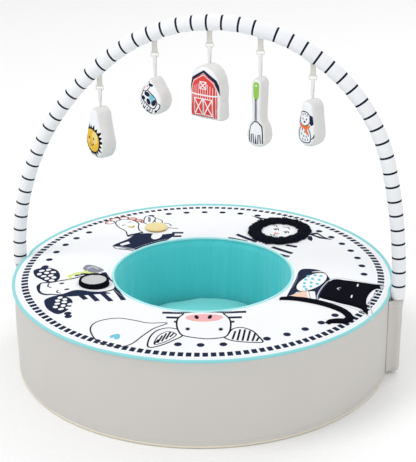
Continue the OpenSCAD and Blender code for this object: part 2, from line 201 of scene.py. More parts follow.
def stroke(points, width, ends=0.45, closed=False, steps=5):
    """A drawn line of the given width, as one or two outlines. ends thins it at its ends."""
    line = curve_points(points, steps, closed)
    n = len(line)
    left, right = [], []
    for k, p in enumerate(line):
        if closed:
            run = line[(k + 1) % n] - line[k - 1]
            w = width
        else:
            run = line[min(k + 1, n - 1)] - line[max(k - 1, 0)]
            t = k / (n - 1)
            w = width * (ends + (1 - ends) * min(1.0, 5 * t, 5 * (1 - t)))
        side = Vector((-run.y, run.x)).normalized() * w / 2
        left.append(p + side)
        right.append(p - side)
    if not closed:
        return [left + right[::-1]]
    return [[left[k], left[(k + 1) % n], right[(k + 1) % n], right[k]] for k in range(n)]


def signed_area(loop):
    return sum(loop[k - 1][0] * loop[k][1] - loop[k][0] * loop[k - 1][1] for k in range(len(loop))) / 2


def covered(outline, x, y):
    """Which of the points (x, y) lie within an outline, counting every turn round them."""
    turns = np.zeros(len(x), int)
    for k in range(len(outline)):
        (ax, ay), (bx, by) = outline[k - 1], outline[k]
        side = (bx - ax) * (y - ay) - (by - ay) * (x - ax)
        turns += ((ay <= y) & (by > y) & (side > 0)).astype(int)
        turns -= ((ay > y) & (by <= y) & (side < 0)).astype(int)
    return turns != 0


def triangulate(shapes, filler, edges=()):
    """Triangles whose edges follow the shapes' outlines, over the filler points too.
    Returns the points, the triangles, and the topmost ink of each triangle (None off the shapes)."""
    points, fixed = [], []
    for loop in [outline for outline, _ in shapes] + list(edges):
        first, n = len(points), len(loop)
        points += [Vector(p) for p in loop]
        fixed += [(first + k, first + (k + 1) % n) for k in range(n)]
    points += [Vector(p) for p in filler]
    out = geometry.delaunay_2d_cdt(points, fixed, [], 0, 1e-6, False)
    places = np.array(out[0])
    middles = places[np.array(out[2])].mean(axis=1)
    inks = [None] * len(out[2])
    for outline, ink in shapes:
        lo, hi = np.min(outline, axis=0), np.max(outline, axis=0)
        near = np.nonzero(((middles >= lo) & (middles <= hi)).all(axis=1))[0]
        for k in near[covered(outline, middles[near, 0], middles[near, 1])]:
            inks[k] = ink
    return out[0], out[2], inks


# ------------------------------------------------------------------ materials


def nodes_of(name, roughness, sheen=0.0, sheen_roughness=0.5, metallic=0.0, specular=0.3):
    material = bpy.data.materials.new(name)
    material.use_nodes = True
    tree = material.node_tree
    shader = tree.nodes["Principled BSDF"]
    shader.inputs["Roughness"].default_value = roughness
    shader.inputs["Metallic"].default_value = metallic
    shader.inputs["Specular IOR Level"].default_value = specular
    shader.inputs["Sheen Weight"].default_value = sheen
    shader.inputs["Sheen Roughness"].default_value = sheen_roughness
    return material, tree, shader


def node(tree, kind, **values):
    made = tree.nodes.new(kind)
    for key, value in values.items():
        if key in made.inputs:
            made.inputs[key].default_value = value
        else:
            setattr(made, key, value)
    return made


def math_node(tree, operation, a, b):
    made = node(tree, "ShaderNodeMath", operation=operation)
    for k, value in enumerate((a, b)):
        if isinstance(value, (int, float)):
            made.inputs[k].default_value = value
        else:
            tree.links.new(value, made.inputs[k])
    return made.outputs[0]


def mix_colour(tree, factor, a, b, blend="MIX"):
    made = node(tree, "ShaderNodeMix", data_type="RGBA", blend_type=blend)
    for socket, value in ((made.inputs[0], factor), (made.inputs[6], a), (made.inputs[7], b)):
        if isinstance(value, (int, float)):
            socket.default_value = value
        elif isinstance(value, tuple):
            socket.default_value = (*value, 1.0)
        else:
            tree.links.new(value, socket)
    return made.outputs[2]


def cloth(name, colour=None, thread=0.9 * MM, weave=0.25, sheen=0.15, roughness=0.85, uv=True, blotch=0.05,
          crease=0.15, pile=0.0, specular=0.2):
    """Woven cloth: crossed threads, uneven dye, soft wrinkles, and a pile where pile is over 0.
    Without a colour, the cloth takes the printed ink of each face."""
    material, tree, shader = nodes_of(name, roughness, sheen, specular=specular)
    place = node(tree, "ShaderNodeTexCoord")
    where = place.outputs["UV" if uv else "Object"]
    solid = place.outputs["Object"]
    waves = []
    for axis in ("X", "Y") if uv else ("X", "Z"):
        wave = node(tree, "ShaderNodeTexWave", wave_type="BANDS", bands_direction=axis)
        wave.inputs["Scale"].default_value = 0.314 / thread
        wave.inputs["Distortion"].default_value = 0.6
        wave.inputs["Detail Scale"].default_value = 2.0
        tree.links.new(where, wave.inputs["Vector"])
        waves.append(wave.outputs["Fac"])
    threads = math_node(tree, "MULTIPLY", waves[0], waves[1])
    fluff = node(tree, "ShaderNodeTexNoise", Scale=900.0, Detail=3.0)
    broad = node(tree, "ShaderNodeTexNoise", Scale=9.0, Detail=3.0)
    folds = node(tree, "ShaderNodeTexNoise", Scale=45.0, Detail=4.0, Roughness=0.6)
    for texture in (fluff, broad, folds):
        tree.links.new(solid, texture.inputs["Vector"])
    if colour is None:
        base = node(tree, "ShaderNodeAttribute", attribute_name="ink").outputs["Color"]
        dark = mix_colour(tree, 1.0, base, (0.80, 0.80, 0.82), "MULTIPLY")
    else:
        base = colour
        dark = tuple(0.8 * c for c in colour)
    grain = math_node(tree, "MULTIPLY", threads, weave)
    uneven = math_node(tree, "MULTIPLY", math_node(tree, "SUBTRACT", broad.outputs["Fac"], 0.35), blotch * 5)
    shade = math_node(tree, "ADD", grain, uneven)
    if pile:
        shade = math_node(tree, "ADD", shade, math_node(tree, "MULTIPLY", fluff.outputs["Fac"], pile))
    tree.links.new(mix_colour(tree, shade, base, dark), shader.inputs["Base Color"])
    height = math_node(tree, "MULTIPLY", threads, weave * 0.0004)
    height = math_node(tree, "ADD", height, math_node(tree, "MULTIPLY", fluff.outputs["Fac"],
                                                      0.0002 + pile * 0.001))
    height = math_node(tree, "ADD", height, math_node(tree, "MULTIPLY", folds.outputs["Fac"], crease * 0.004))
    bump = node(tree, "ShaderNodeBump", Strength=0.6, Distance=1.0)
    tree.links.new(height, bump.inputs["Height"])
    tree.links.new(bump.outputs["Normal"], shader.inputs["Normal"])
    return material


def plain(name, colour, roughness, metallic=0.0, scratch=0.03, specular=0.5):
    """Moulded plastic or metal with a faint unevenness in its colour and surface."""
    material, tree, shader = nodes_of(name, roughness, metallic=metallic, specular=specular)
    place = node(tree, "ShaderNodeTexCoord")
    spots = node(tree, "ShaderNodeTexNoise", Scale=160.0, Detail=4.0)
    tree.links.new(place.outputs["Object"], spots.inputs["Vector"])
    dark = tuple(0.8 * c for c in colour)
    tree.links.new(mix_colour(tree, math_node(tree, "MULTIPLY", spots.outputs["Fac"], 0.5), colour, dark),
                   shader.inputs["Base Color"])
    bump = node(tree, "ShaderNodeBump", Strength=0.3, Distance=1.0)
    tree.links.new(math_node(tree, "MULTIPLY", spots.outputs["Fac"], scratch * 0.01), bump.inputs["Height"])
    tree.links.new(bump.outputs["Normal"], shader.inputs["Normal"])
    return material


M = {
    "printed": cloth("printed_cotton", thread=0.8 * MM, weave=0.18, sheen=0.0, crease=0.10, specular=0.1),
    "canvas": cloth("side_canvas", (0.62, 0.60, 0.57), thread=1.1 * MM, weave=0.35, crease=0.12, blotch=0.04),
    "aqua": cloth("aqua_piping", (0.27, 0.68, 0.70), thread=0.8 * MM, weave=0.2, sheen=0.15, crease=0.2),
    "pale_aqua": cloth("pale_aqua_piping", (0.46, 0.84, 0.86), thread=0.8 * MM, weave=0.2, sheen=0.2,
                       crease=0.2),
    "cream": cloth("cream_hem", (0.78, 0.72, 0.60), thread=0.8 * MM, weave=0.3),
    "lining": cloth("well_plush", (0.12, 0.74, 0.77), thread=1.0 * MM, weave=0.1, sheen=0.3, roughness=0.95,
                    pile=0.5),
    "floor": cloth("floor_plush", (0.22, 0.78, 0.78), thread=1.0 * MM, weave=0.1, sheen=0.3, roughness=0.95,
                   pile=0.5, uv=False),
    "sleeve": cloth("striped_sleeve", thread=0.9 * MM, weave=0.3, sheen=0.0, crease=0.25, specular=0.1),
    "toy": cloth("toy_cotton", (0.74, 0.735, 0.72), thread=0.8 * MM, weave=0.25, uv=False, crease=0.6,
                 specular=0.15),
    "toy_print": cloth("toy_print", thread=0.7 * MM, weave=0.12, sheen=0.0, uv=False, crease=0.3,
                       specular=0.1),
    "webbing": cloth("tab_webbing", (0.72, 0.70, 0.65), thread=1.2 * MM, weave=0.5, uv=False),
    "ribbon": cloth("ribbon", (0.86, 0.86, 0.86), thread=0.5 * MM, weave=0.4, sheen=0.4, uv=False,
                    roughness=0.6),
    "velour": cloth("black_velour", (0.006, 0.006, 0.011), weave=0.05, sheen=0.01, roughness=0.95, pile=0.6,
                    uv=False, specular=0.0),
    "wool": cloth("navy_wool", (0.008, 0.010, 0.020), weave=0.05, sheen=0.05, roughness=1.0, pile=0.9,
                  uv=False, specular=0.03),
    "yellow": cloth("yellow_velour", (0.84, 0.70, 0.30), weave=0.15, sheen=0.5, roughness=0.9, pile=0.4,
                    uv=False),
    "base": cloth("base_fabric", (0.55, 0.55, 0.54), thread=1.5 * MM, weave=0.5, uv=False),
    "thread": cloth("white_thread", (0.85, 0.85, 0.85), weave=0.2, uv=False),
    "tape": cloth("zip_tape", (0.70, 0.68, 0.64), weave=0.5, uv=False),
    "film": plain("mirror_film", (0.80, 0.82, 0.84), 0.12, metallic=1.0, scratch=0.2),
    "ring": plain("ring_plastic", (0.84, 0.83, 0.79), 0.3),
    "metal": plain("zip_metal", (0.62, 0.62, 0.64), 0.35, metallic=1.0),
    "rod": plain("fibreglass", (0.45, 0.46, 0.44), 0.4),
    "rubber": plain("foot_plastic", (0.04, 0.04, 0.045), 0.5),
    "foam": cloth("foam", (0.85, 0.80, 0.62), weave=0.0, uv=False, roughness=1.0),
    "floor_plane": plain("pale_floor", (0.97, 0.97, 0.97), 0.6, scratch=0.0),
}


def finish_piece(piece, body, slot, *replaced):
    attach(piece, body)
    if replaced:
        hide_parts(*replaced)
    return piece


# ------------------------------------------------------------------ the ring's covers


def polar(r, a):
    return r * math.cos(a), r * math.sin(a)


def top_z(x, y):
    """Height of the printed cover: crowned, softly uneven, and puckered along both seams."""
    r = math.hypot(x, y)
    a = math.atan2(y, x)
    u = (r - MID_R) / HALF_W
    inside = max(0.0, 1 - u * u)
    swell = 1.6 * MM * rough(x, y, size=0.14) * inside
    edge = math.exp(-((1 - abs(u)) * HALF_W / (14 * MM)) ** 2)
    pucker = 0.5 * MM * edge * rough(a * r, 3.0 * math.copysign(1, u), size=11 * MM)
    return SEAM_Z + CROWN * inside + swell + pucker


def ring_place(r, a, high=0.0):
    x, y = polar(r, a)
    return Vector((x, y, top_z(x, y) + high))


# ------------------------------------------------------------------ art on the cover
# Each animal is drawn in its own frame, in mm: u away from the ring's centre, v to its left.

ART = []


def draw(theta, ink, *outlines):
    c, s = math.cos(math.radians(theta)), math.sin(math.radians(theta))
    for outline in outlines:
        ART.append(([(MM * (u * c - v * s), MM * (u * s + v * c)) for u, v in outline], ink))


def figure(theta, points, fill, edge=None, width=2.2, steps=6):
    """A filled smooth shape, with a drawn edge if edge names an ink."""
    draw(theta, fill, [tuple(p) for p in curve_points(points, steps)])
    if edge:
        draw(theta, edge, *stroke(points, width, closed=True, steps=steps))


def draw_border():
    """The ring of short dashes by the outer seam, and the dots inside it."""
    dashes = 153
    for k in range(dashes):
        draw(360 * k / dashes, "navy", box_shape(394, -5.6, 409, 5.6))
    dots = 50
    hidden = [(65, 10), (-8, 12), (140, 9), (-150, 17), (-110, 13), (-93, 5), (-61, 4)]
    for k in range(dots):
        a = 360 * (k + 0.35) / dots - 180
        if all(abs((a - middle + 180) % 360 - 180) > half for middle, half in hidden):
            draw(a, "navy", ellipse(364, 0, 8, 8))


def draw_pig(t=-76):
    draw(t, "navy", bar(210, -86, 210, 92, 12), bar(236, -77, 240, 82, 11), bar(258, -60, 262, 66, 10))
    left = [(299, -48), (289, -70), (300, -92), (326, -106), (362, -111), (371, -102), (360, -78), (342, -57),
            (324, -42)]
    right = [(318, 52), (296, 62), (291, 80), (306, 101), (330, 113), (353, 121), (355, 102), (352, 77),
             (345, 56), (332, 44)]
    for ear in (left, right):
        figure(t, ear, "cloth", "black", 3.6)
    figure(t, [(318, -54), (306, -70), (318, -86), (340, -95), (360, -97), (353, -80), (338, -64)], "cloth",
           "black", 2.6)
    for v, low, high in ((-62, 312, 330), (-70, 308, 340), (-78, 314, 348), (-86, 324, 354), (-93, 340, 358)):
        draw(t, "black", bar(low, v + 4, high, v - 5, 4))
    for v, low, high in ((64, 306, 342), (74, 299, 346), (84, 300, 348), (94, 306, 349), (104, 318, 350),
                         (112, 332, 350)):
        draw(t, "black", bar(low, v + 3, high, v - 4, 4.4))
    head = [(206, -30), (222, -44), (246, -53), (274, -54), (302, -50), (323, -40), (334, -12), (338, 14),
            (331, 44), (312, 54), (278, 58), (248, 56), (224, 47), (208, 34)]
    figure(t, head, "cloth", "black", 3.8)
    figure(t, ellipse(236, 3, 20, 40), "pink", None, steps=2)
    draw(t, "blush", *stroke([(240, -34), (252, -20), (256, 4), (252, 28), (241, 41)], 3))
    draw(t, "black", ellipse(233, -13, 11, 4.6, 8), ellipse(233, 15, 11, 4.6, -8))
    draw(t, "pale", ellipse(293, -31, 9, 5.5), ellipse(296, 37, 9, 5.5))
    draw(t, "black", ellipse(293, -31, 6, 4), ellipse(296, 37, 6, 4))


def draw_sheep(t=65):
    for run in ((196, 80, 206, 30), (222, 74, 216, 10), (214, -38, 210, -100), (190, -76, 192, -104),
                (240, -60, 246, -88)):
        draw(t, "navy", bar(*run, 10))
    draw(t, "navy", [(312, 58), (330, 86), (338, 118), (342, 84), (350, 62), (332, 60)])
    draw(t, "cloth", [(328, 66), (335, 84), (338, 66)])
    draw(t, "navy", [(322, -72), (318, -104), (331, -134), (334, -104), (346, -78), (334, -70)])
    draw(t, "navy", [(312, -74), (296, -84), (292, -98), (306, -92), (318, -80)])
    draw(t, "cloth", [(328, -80), (328, -106), (337, -84)])
    figure(t, ellipse(295, -2, 52, 52), "cloth", None, steps=2)
    for v in (-17, 13):
        draw(t, "black", *stroke([(300, v - 8), (307, v), (300, v + 8)], 3.4), ellipse(299, v, 3.4, 3.4))
    draw(t, "black", *stroke([(322, -14), (328, -2), (322, 10)], 3),
         *stroke([(314, 20), (320, 26), (313, 31)], 3))
    draw(t, "blush", ellipse(282, -2, 4.4, 8))
    draw(t, "black", *stroke([(280, -2), (270, -2)], 2.6),
         *stroke([(272, -13), (267, -7), (270, -2), (267, 3), (272, 9)], 2.6))


def draw_cow(t=-148):
    for run in ((214, -72, 208, 86), (248, 18, 236, 86), (274, 20, 264, 78), (296, 20, 286, 62)):
        draw(t, "navy", bar(*run, 12))
    figure(t, [(334, 20), (300, 10), (276, 22), (244, 30), (226, 44), (262, 42), (296, 40), (322, 34)],
           "navy")
    ears = ([(361, -134), (331, -136), (312, -108), (317, -64), (341, -48), (357, -76), (366, -100)],
            [(367, 28), (334, 22), (315, 56), (331, 96), (357, 112), (372, 86), (375, 54)])
    for ear, tip in zip(ears, ((334, -142), (338, 116))):
        draw(t, "navy", ellipse(*tip, 8, 8))
        figure(t, ear, "navy")
    spots = ((346, -122), (330, -122), (355, -106), (338, -106), (323, -104), (348, -90), (332, -88),
             (344, -74), (328, -74), (336, -60))
    for k, (u, v) in enumerate(spots):
        draw(t, "cloth", ellipse(u, v, 6.6, 5.4, 35 * k))
        draw(t, "cloth", ellipse(u + 1, -0.9 * v - 20, 6.2, 5.2, -35 * k))
    head = [(361, -55), (341, -50), (319, -51), (296, -52), (266, -60), (242, -68), (220, -50), (204, -14),
            (212, 20), (240, 32), (264, 28), (286, 14), (302, 11), (330, 20), (352, 10), (364, 4), (373, -12),
            (369, -36)]
    figure(t, head, "cloth", "navy", 5)
    draw(t, "navy", *stroke([(361, -55), (371, -42), (373, -12), (365, 5), (352, 12)], 6))
    draw(t, "navy", *stroke([(344, -48), (350, -34), (344, -22)], 3.4),
         *stroke([(330, 14), (338, 4), (332, -6)], 3.4))
    draw(t, "black", ellipse(318, -36, 6, 4), ellipse(314, -2, 6, 4))
    figure(t, [(255, -100), (243, -119), (226, -112), (210, -84), (230, -72), (247, -82)], "grey")
    draw(t, "pale", *stroke([(246, -98), (232, -106), (220, -90)], 6))
    draw(t, "navy", *stroke([(282, -66), (262, -72), (246, -66)], 9))
    draw(t, "lime", *stroke([(300, -52), (284, -74), (266, -82), (240, -72), (222, -52), (216, -32)], 7,
                            ends=0.7))
    for u, v, turn in ((292, -72, 40), (274, -76, -30), (254, -84, 20), (230, -64, -50)):
        draw(t, "lime", ellipse(u, v, 8, 4, turn))


def draw_hen(t=140):
    figure(t, [(250, 82), (232, 74), (210, 58), (196, 34), (200, -20), (212, -60), (226, -78), (242, -44),
               (264, -26), (272, 4), (262, 34)], "navy")
    draw(t, "cloth", [(247, 66), (238, 66), (238, 42), (250, 40)])
    draw(t, "grey", *stroke([(240, 78), (222, 62), (206, 50)], 6),
         *stroke([(228, 82), (214, 66), (198, 54)], 5))
    draw(t, "navy", bar(232, -76, 216, -98, 9), bar(218, -62, 204, -84, 9))
    draw(t, "line", *stroke([(250, 84), (230, 86), (212, 66), (198, 54)], 2.6))
    for u, v, r in ((380, 10, 13), (391, -12, 14), (384, -34, 13), (364, -46, 12), (344, -52, 10),
                    (328, -56, 8)):
        draw(t, "line", ellipse(u, v, r, r))
        draw(t, "blush", ellipse(u, v, r - 2.6, r - 2.6))
    for u, v, r in ((378, 8, 8), (388, -12, 9), (380, -32, 8)):
        draw(t, "cloth", ellipse(u, v, r, r))
    figure(t, [(366, 2), (377, -14), (372, -34), (350, -42), (326, -40), (306, -26), (288, -18), (274, -16),
               (272, 22), (286, 20), (304, 12), (336, 12)], "cloth", "black", 3)
    draw(t, "navy", bar(279, 24, 274, -18, 8))
    figure(t, [(324, -88), (340, -96), (358, -88), (350, -74), (322, -54), (306, -62)], "cloth", "line", 3)
    draw(t, "grey", *stroke([(350, -86), (334, -78), (318, -66)], 7))
    figure(t, [(328, -92), (312, -98), (296, -90), (300, -76), (312, -80)], "cloth", "line", 2.6)
    draw(t, "line", *stroke([(292, -92), (280, -100), (264, -96)], 3),
         *stroke([(268, -84), (252, -92), (244, -104)], 3))
    draw(t, "yellow", [(328, -8), (322, -26), (306, -13)])
    draw(t, "line", *stroke([(328, -8), (314, -12), (322, -26)], 2.2))
    draw(t, "black", *stroke([(336, 0), (342, -5), (336, -10)], 2.6),
         *stroke([(346, -24), (350, -29), (344, -33)], 2.6))
    figure(t, ellipse(277, -60, 26, 26), "peach", None, steps=2)
    figure(t, ellipse(240, -36, 12, 21, 35), "cloth", None, steps=2)


def draw_fish(t=-7):
    figure(t, [(204, 84), (226, 96), (256, 88), (284, 52), (292, -4), (291, -54), (284, -67), (256, -66),
               (228, -64), (216, -30), (212, 20)], "navy", None, steps=4)
    draw(t, "navy", bar(213, 86, 226, -60, 16))
    figure(t, ellipse(249, 28, 27, 54, -12), "cloth", "black", 3)
    draw(t, "cloth", [(258, -22), (270, -20), (284, -58), (272, -62)],
         [(244, -22), (232, -34), (228, -54), (238, -30)])
    draw(t, "cloth", [(243, -26), (256, -22), (272, -60), (222, -55)])
    draw(t, "peach", [(243, -27), (252, -23), (266, -57), (224, -54)])
    draw(t, "black", *stroke([(243, -26), (223, -55), (272, -60), (257, -22)], 2.6, steps=1))
    for u, v in ((232, 56), (246, 64), (260, 62), (232, 38), (246, 44), (262, 42), (235, 18), (249, 24),
                 (264, 20), (240, 0), (254, 4), (248, -12)):
        draw(t, "sky", ellipse(u, v, 3.6, 6.4, 20))
    draw(t, "cloth", *stroke([(234, 80), (262, 86), (286, 52)], 4),
         *stroke([(291, -56), (296, 0), (290, 50)], 4))


def draw_bubble(t=-110):
    outline = [(370, -30), (343, -40), (318, -30), (299, -9), (291, 20), (284, 56), (261, 87), (300, 80),
               (338, 80), (374, 80), (396, 66), (402, 34), (396, 3)]
    draw(t, "line", *stroke(outline, 3.4, closed=True, steps=5))
    heart = [(356, 34), (364, 43), (373, 45), (378, 39), (373, 34), (378, 29), (373, 23), (364, 25)]
    figure(t, heart, "sky", None)


draw_border()
draw_fish()
draw_bubble()
draw_pig()
draw_sheep()
draw_cow()
draw_hen()
# Light thread that outlines the velour cat on the cloth
draw(-7.5, "pale", *stroke([(287, 55), (350, 66), (400, 70), (402, 52), (396, 10), (396, -30), (420, -92),
                            (390, -76), (340, -66), (286, -52)], 3, closed=True))


def ring_filler(r0, r1, step):
    """Points in rows round the ring, staggered from row to row."""
    rows = round((r1 - r0) / step)
    points = []
    for i in range(1, rows):
        r = r0 + (r1 - r0) * i / rows
        n = round(TAU * r / step)
        points += [polar(r, TAU * (k + 0.5 * (i % 2)) / n) for k in range(n)]
    return points


def circle_points(r, n):
    return [polar(r, TAU * k / n) for k in range(n)]


def make_printed_top():
    r0, r1 = LIP_R + INNER_D / 2 - 1.5 * MM, PIPING_R - OUTER_D / 2 + 1.5 * MM
    rims = [circle_points(r0, 200), circle_points(r1, 360)]
    points, faces, inks = triangulate(ART, ring_filler(r0, r1, 7 * MM), rims)
    kept, colours = [], []
    for face, ink in zip(faces, inks):
        middle = sum((points[k] for k in face), Vector((0, 0))) / 3
        if middle.length > r0 * 0.9995:
            kept.append(face)
            colours.append(ink or "cloth")
    used = sorted({k for face in kept for k in face})
    place = {k: n for n, k in enumerate(used)}
    verts = [Vector((points[k].x, points[k].y, top_z(points[k].x, points[k].y))) for k in used]
    faces = [[place[k] for k in face] for face in kept]
    for n, face in enumerate(faces):
        a, b, c = (verts[k] for k in face)
        if (b - a).cross(c - a).z < 0:
            face.reverse()
    piece = add_mesh("printed_top", verts, faces, M["printed"])
    give_ink(piece, colours)
    give_uv(piece, [(v.x, v.y) for v in verts])
    return finish_piece(piece, "ring", "top_cotton", "top_cover")


printed_top = make_printed_top()

# ------------------------------------------------------------------ rows of stitches


def stitch_row(name, places, length, width, material, body, slot):
    """Short raised stitches, one at each (middle, run, up), all in one mesh."""
    verts, faces = [], []
    outline = [(-0.5, 0), (-0.38, 0.5), (0.38, 0.5), (0.5, 0), (0.38, -0.5), (-0.38, -0.5)]
    for middle, run, up in places:
        side = up.cross(run)
        first = len(verts)
        for x, y in outline:
            verts.append(middle + run * length * x + side * width * y - up * width * 0.3)
        for x, y in outline:
            verts.append(middle + run * length * 0.8 * x + side * width * 0.5 * y + up * width * 0.4)
        n = len(outline)
        for k in range(n):
            j = (k + 1) % n
            faces.append((first + k, first + n + k, first + n + j, first + j))
        faces.append(tuple(first + n + k for k in range(n))[::-1])
        faces.append(tuple(first + k for k in range(n)))
    return finish_piece(add_mesh(name, verts, faces, material), body, slot)


def seam_round(radius, pitch):
    """Places of stitches in a ring on the top cover."""
    n = round(TAU * radius / pitch)
    places = []
    for k in range(n):
        a = TAU * k / n
        places.append((ring_place(radius, a, 0.2 * MM), Vector((-math.sin(a), math.cos(a), 0)),
                       Vector((0, 0, 1))))
    return places


stitch_row("top_stitching", seam_round(LIP_R + 11 * MM, 4.5 * MM) + seam_round(PIPING_R - 11.5 * MM,
                                                                               4.5 * MM),
           3.2 * MM, 0.8 * MM, M["thread"], "ring", "top_cotton")

# ------------------------------------------------------------------ pipings, side band and well lining


def leg_near(a, width):
    """1 beside an arch leg, falling to 0 away from both legs."""
    x = min(abs((a + d + math.pi) % TAU - math.pi) for d in (0, math.pi))
    return math.exp(-(x / width) ** 2)


def make_piping(name, node, radius, thick, z, material, slot, dent=0.0, wobble=0.5 * MM):
    """Fabric-covered cord: it wanders a little and is ridged by its bias wrinkles."""
    cols, rows = 24, 720
    half = thick / 2

    def point(i, j):
        a = TAU * i / rows
        b = TAU * j / cols
        press = dent * leg_near(a, 0.055)
        x, y = polar(radius, a)
        drift = wobble * rough(x, y, 5, size=0.09)
        sway = wobble * rough(x, y, 9, size=0.07)
        ridge = 1 + 0.035 * math.sin(2 * b + a * radius / (7 * MM)) + 0.03 * rough(x, y, b, size=0.012)
        r = radius - press + drift + (half - 0.3 * press) * ridge * math.cos(b)
        return Vector((*polar(r, a), z + sway + half * ridge * math.sin(b)))

    verts = [point(i, j) for i in range(rows) for j in range(cols)]
    faces = []
    for i in range(rows):
        for j in range(cols):
            i2, j2 = (i + 1) % rows, (j + 1) % cols
            faces.append((i * cols + j, i2 * cols + j, i2 * cols + j2, i * cols + j2))
    piece = add_mesh(name, verts, faces, material)
    give_uv(piece,
            [(TAU * i / rows * radius, thick * math.pi * j / cols) for i in range(rows) for j in range(cols)])
    return finish_piece(piece, "ring", slot, node)


outer_cord = make_piping("outer_cord", "outer_piping", PIPING_R, OUTER_D, SEAM_Z, M["aqua"], "aqua_piping",
                         dent=4.8 * MM)
inner_cord = make_piping("inner_cord", "inner_piping", LIP_R, INNER_D, SEAM_Z, M["pale_aqua"],
                         "pale_aqua_piping")
hem_lo, hem_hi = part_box("bottom_piping")
hem_d = hem_hi.z - hem_lo.z
make_piping("bottom_cord", "bottom_piping", hem_hi.y - hem_d / 2, hem_d, (hem_lo.z + hem_hi.z) / 2,
            M["cream"],
            "cream_piping", wobble=0.2 * MM)


def make_side_band():
    low, high = side_lo.z - 1 * MM, side_hi.z + 2 * MM
    rows, cols = 40, 720

    def point(i, j):
        a = TAU * j / cols
        t = i / (rows - 1)
        z = low + (high - low) * t
        x, y = polar(1, a)
        away = 1 - leg_near(a, 0.09)
        belly = 1.6 * MM * math.sin(math.pi * t) * away
        wave = 1.5 * MM * rough(x * 3.2, y * 3.2, z * 6) + 0.7 * MM * rough(x * 9, y * 9, z * 5)
        edge = (math.exp(-((1 - t) * (high - low) / (16 * MM)) ** 2)
                + math.exp(-(t * (high - low) / (12 * MM)) ** 2))
        pucker = 0.5 * MM * edge * rough(a * 60, 4.0)
        flare = 2.6 * MM * smooth_step(t, 0.86, 1.0) * away
        r = WALL_R + belly + flare + away * (wave * math.sin(math.pi * min(1, t * 1.1 + 0.1)) + pucker)
        return Vector((*polar(max(r, WALL_R - 1.2 * MM), a), z))

    piece = grid("side_band", rows, cols, point, M["canvas"],
                 uv=lambda i, j: (TAU * WALL_R * j / cols, (high - low) * i / (rows - 1)))
    return finish_piece(piece, "ring", "side_canvas", "side_cover")


side_band = make_side_band()

for angle_name, band_z in (("upper", side_hi.z - 6 * MM), ("lower", side_lo.z + 7 * MM)):
    count = 620
    row = []
    for k in range(count):
        a = TAU * k / count
        if leg_near(a, 0.05) < 0.2:
            out = Vector((math.cos(a), math.sin(a), 0))
            row.append((out * (WALL_R + 1.1 * MM) + Vector((0, 0, band_z)), Vector((-out.y, out.x, 0)), out))
    stitch_row("band_stitching_" + angle_name, row, 3.0 * MM, 0.7 * MM, M["thread"], "ring", "side_canvas")


def make_well_wall():
    """The well's plush lining: gathered on the lip's seam, so it falls in soft upright folds."""
    low, high = lining_lo.z, LINING_TOP
    rows, cols = 44, 540

    def point(i, j):
        a = TAU * j / cols
        t = i / (rows - 1)
        z = low + (high - low) * t
        x, y = polar(1, a)
        fold = rough(x * 5.5, y * 5.5, z * 2.5) + 0.7 * rough(x * 13, y * 13, z * 3)
        gather = 1.4 * MM * rough(x * 34, y * 34, z * 5) * (0.25 + 0.75 * t ** 2)
        r = WELL_R - 2.2 * MM - 4.5 * MM * fold * (0.35 + 0.65 * math.sin(math.pi * t)) - gather
        r += 3.5 * MM * smooth_step(t, 0.9, 1.0)
        return Vector((*polar(min(r, WELL_R + 4.5 * MM), a), z))

    piece = grid("well_wall", rows, cols, lambda i, j: point(rows - 1 - i, j), M["lining"],
                 uv=lambda i, j: (1.45 * j / cols, (high - low) * (1 - i / (rows - 1))))
    return finish_piece(piece, "ring", "well_plush", "well_lining")


well_wall = make_well_wall()

# ------------------------------------------------------------------ cloth simulation


def inflate(piece, voxel, pressure, cap, stiff=15.0):
    """Remeshes a closed form, blows it up as cloth, caps how far each point moved, and subdivides it once."""
    scene = bpy.context.scene
    remesh = piece.modifiers.new("remesh", "REMESH")
    remesh.mode = "VOXEL"
    remesh.voxel_size = voxel
    bake_modifiers(piece)
    start = np.array([v.co for v in piece.data.vertices])
    sim = piece.modifiers.new("cloth", "CLOTH")
    sim.settings.quality = 5
    sim.settings.mass = 0.15
    sim.settings.tension_stiffness = stiff
    sim.settings.compression_stiffness = stiff
    sim.settings.shear_stiffness = 5
    sim.settings.bending_stiffness = 0.3
    sim.settings.use_pressure = True
    sim.settings.uniform_pressure_force = pressure
    sim.settings.effector_weights.gravity = 0
    sim.collision_settings.use_collision = False
    sim.point_cache.frame_start = 1
    sim.point_cache.frame_end = 20
    for frame_number in range(1, 21):
        scene.frame_set(frame_number)
    bake_modifiers(piece)
    scene.frame_set(1)
    moved = np.array([v.co for v in piece.data.vertices]) - start
    far = np.linalg.norm(moved, axis=1, keepdims=True)
    kept = start + moved * np.minimum(1.0, cap / np.maximum(far, 1e-9))
    piece.data.vertices.foreach_set("co", kept.astype(np.float32).ravel())
    smooth = piece.modifiers.new("smooth", "SMOOTH")
    smooth.factor = 0.6
    smooth.iterations = 4
    finer = piece.modifiers.new("finer", "SUBSURF")
    finer.levels = 1
    bake_modifiers(piece)
    piece.data.polygons.foreach_set("use_smooth", [True] * len(piece.data.polygons))
    return piece


def bake_modifiers(piece):
    """Makes what the modifiers give the piece's own mesh, and takes the modifiers off."""
    graph = bpy.context.evaluated_depsgraph_get()
    baked = bpy.data.meshes.new_from_object(piece.evaluated_get(graph))
    old = piece.data
    piece.modifiers.clear()
    piece.data = baked
    baked.name = piece.name
    bpy.data.meshes.remove(old)


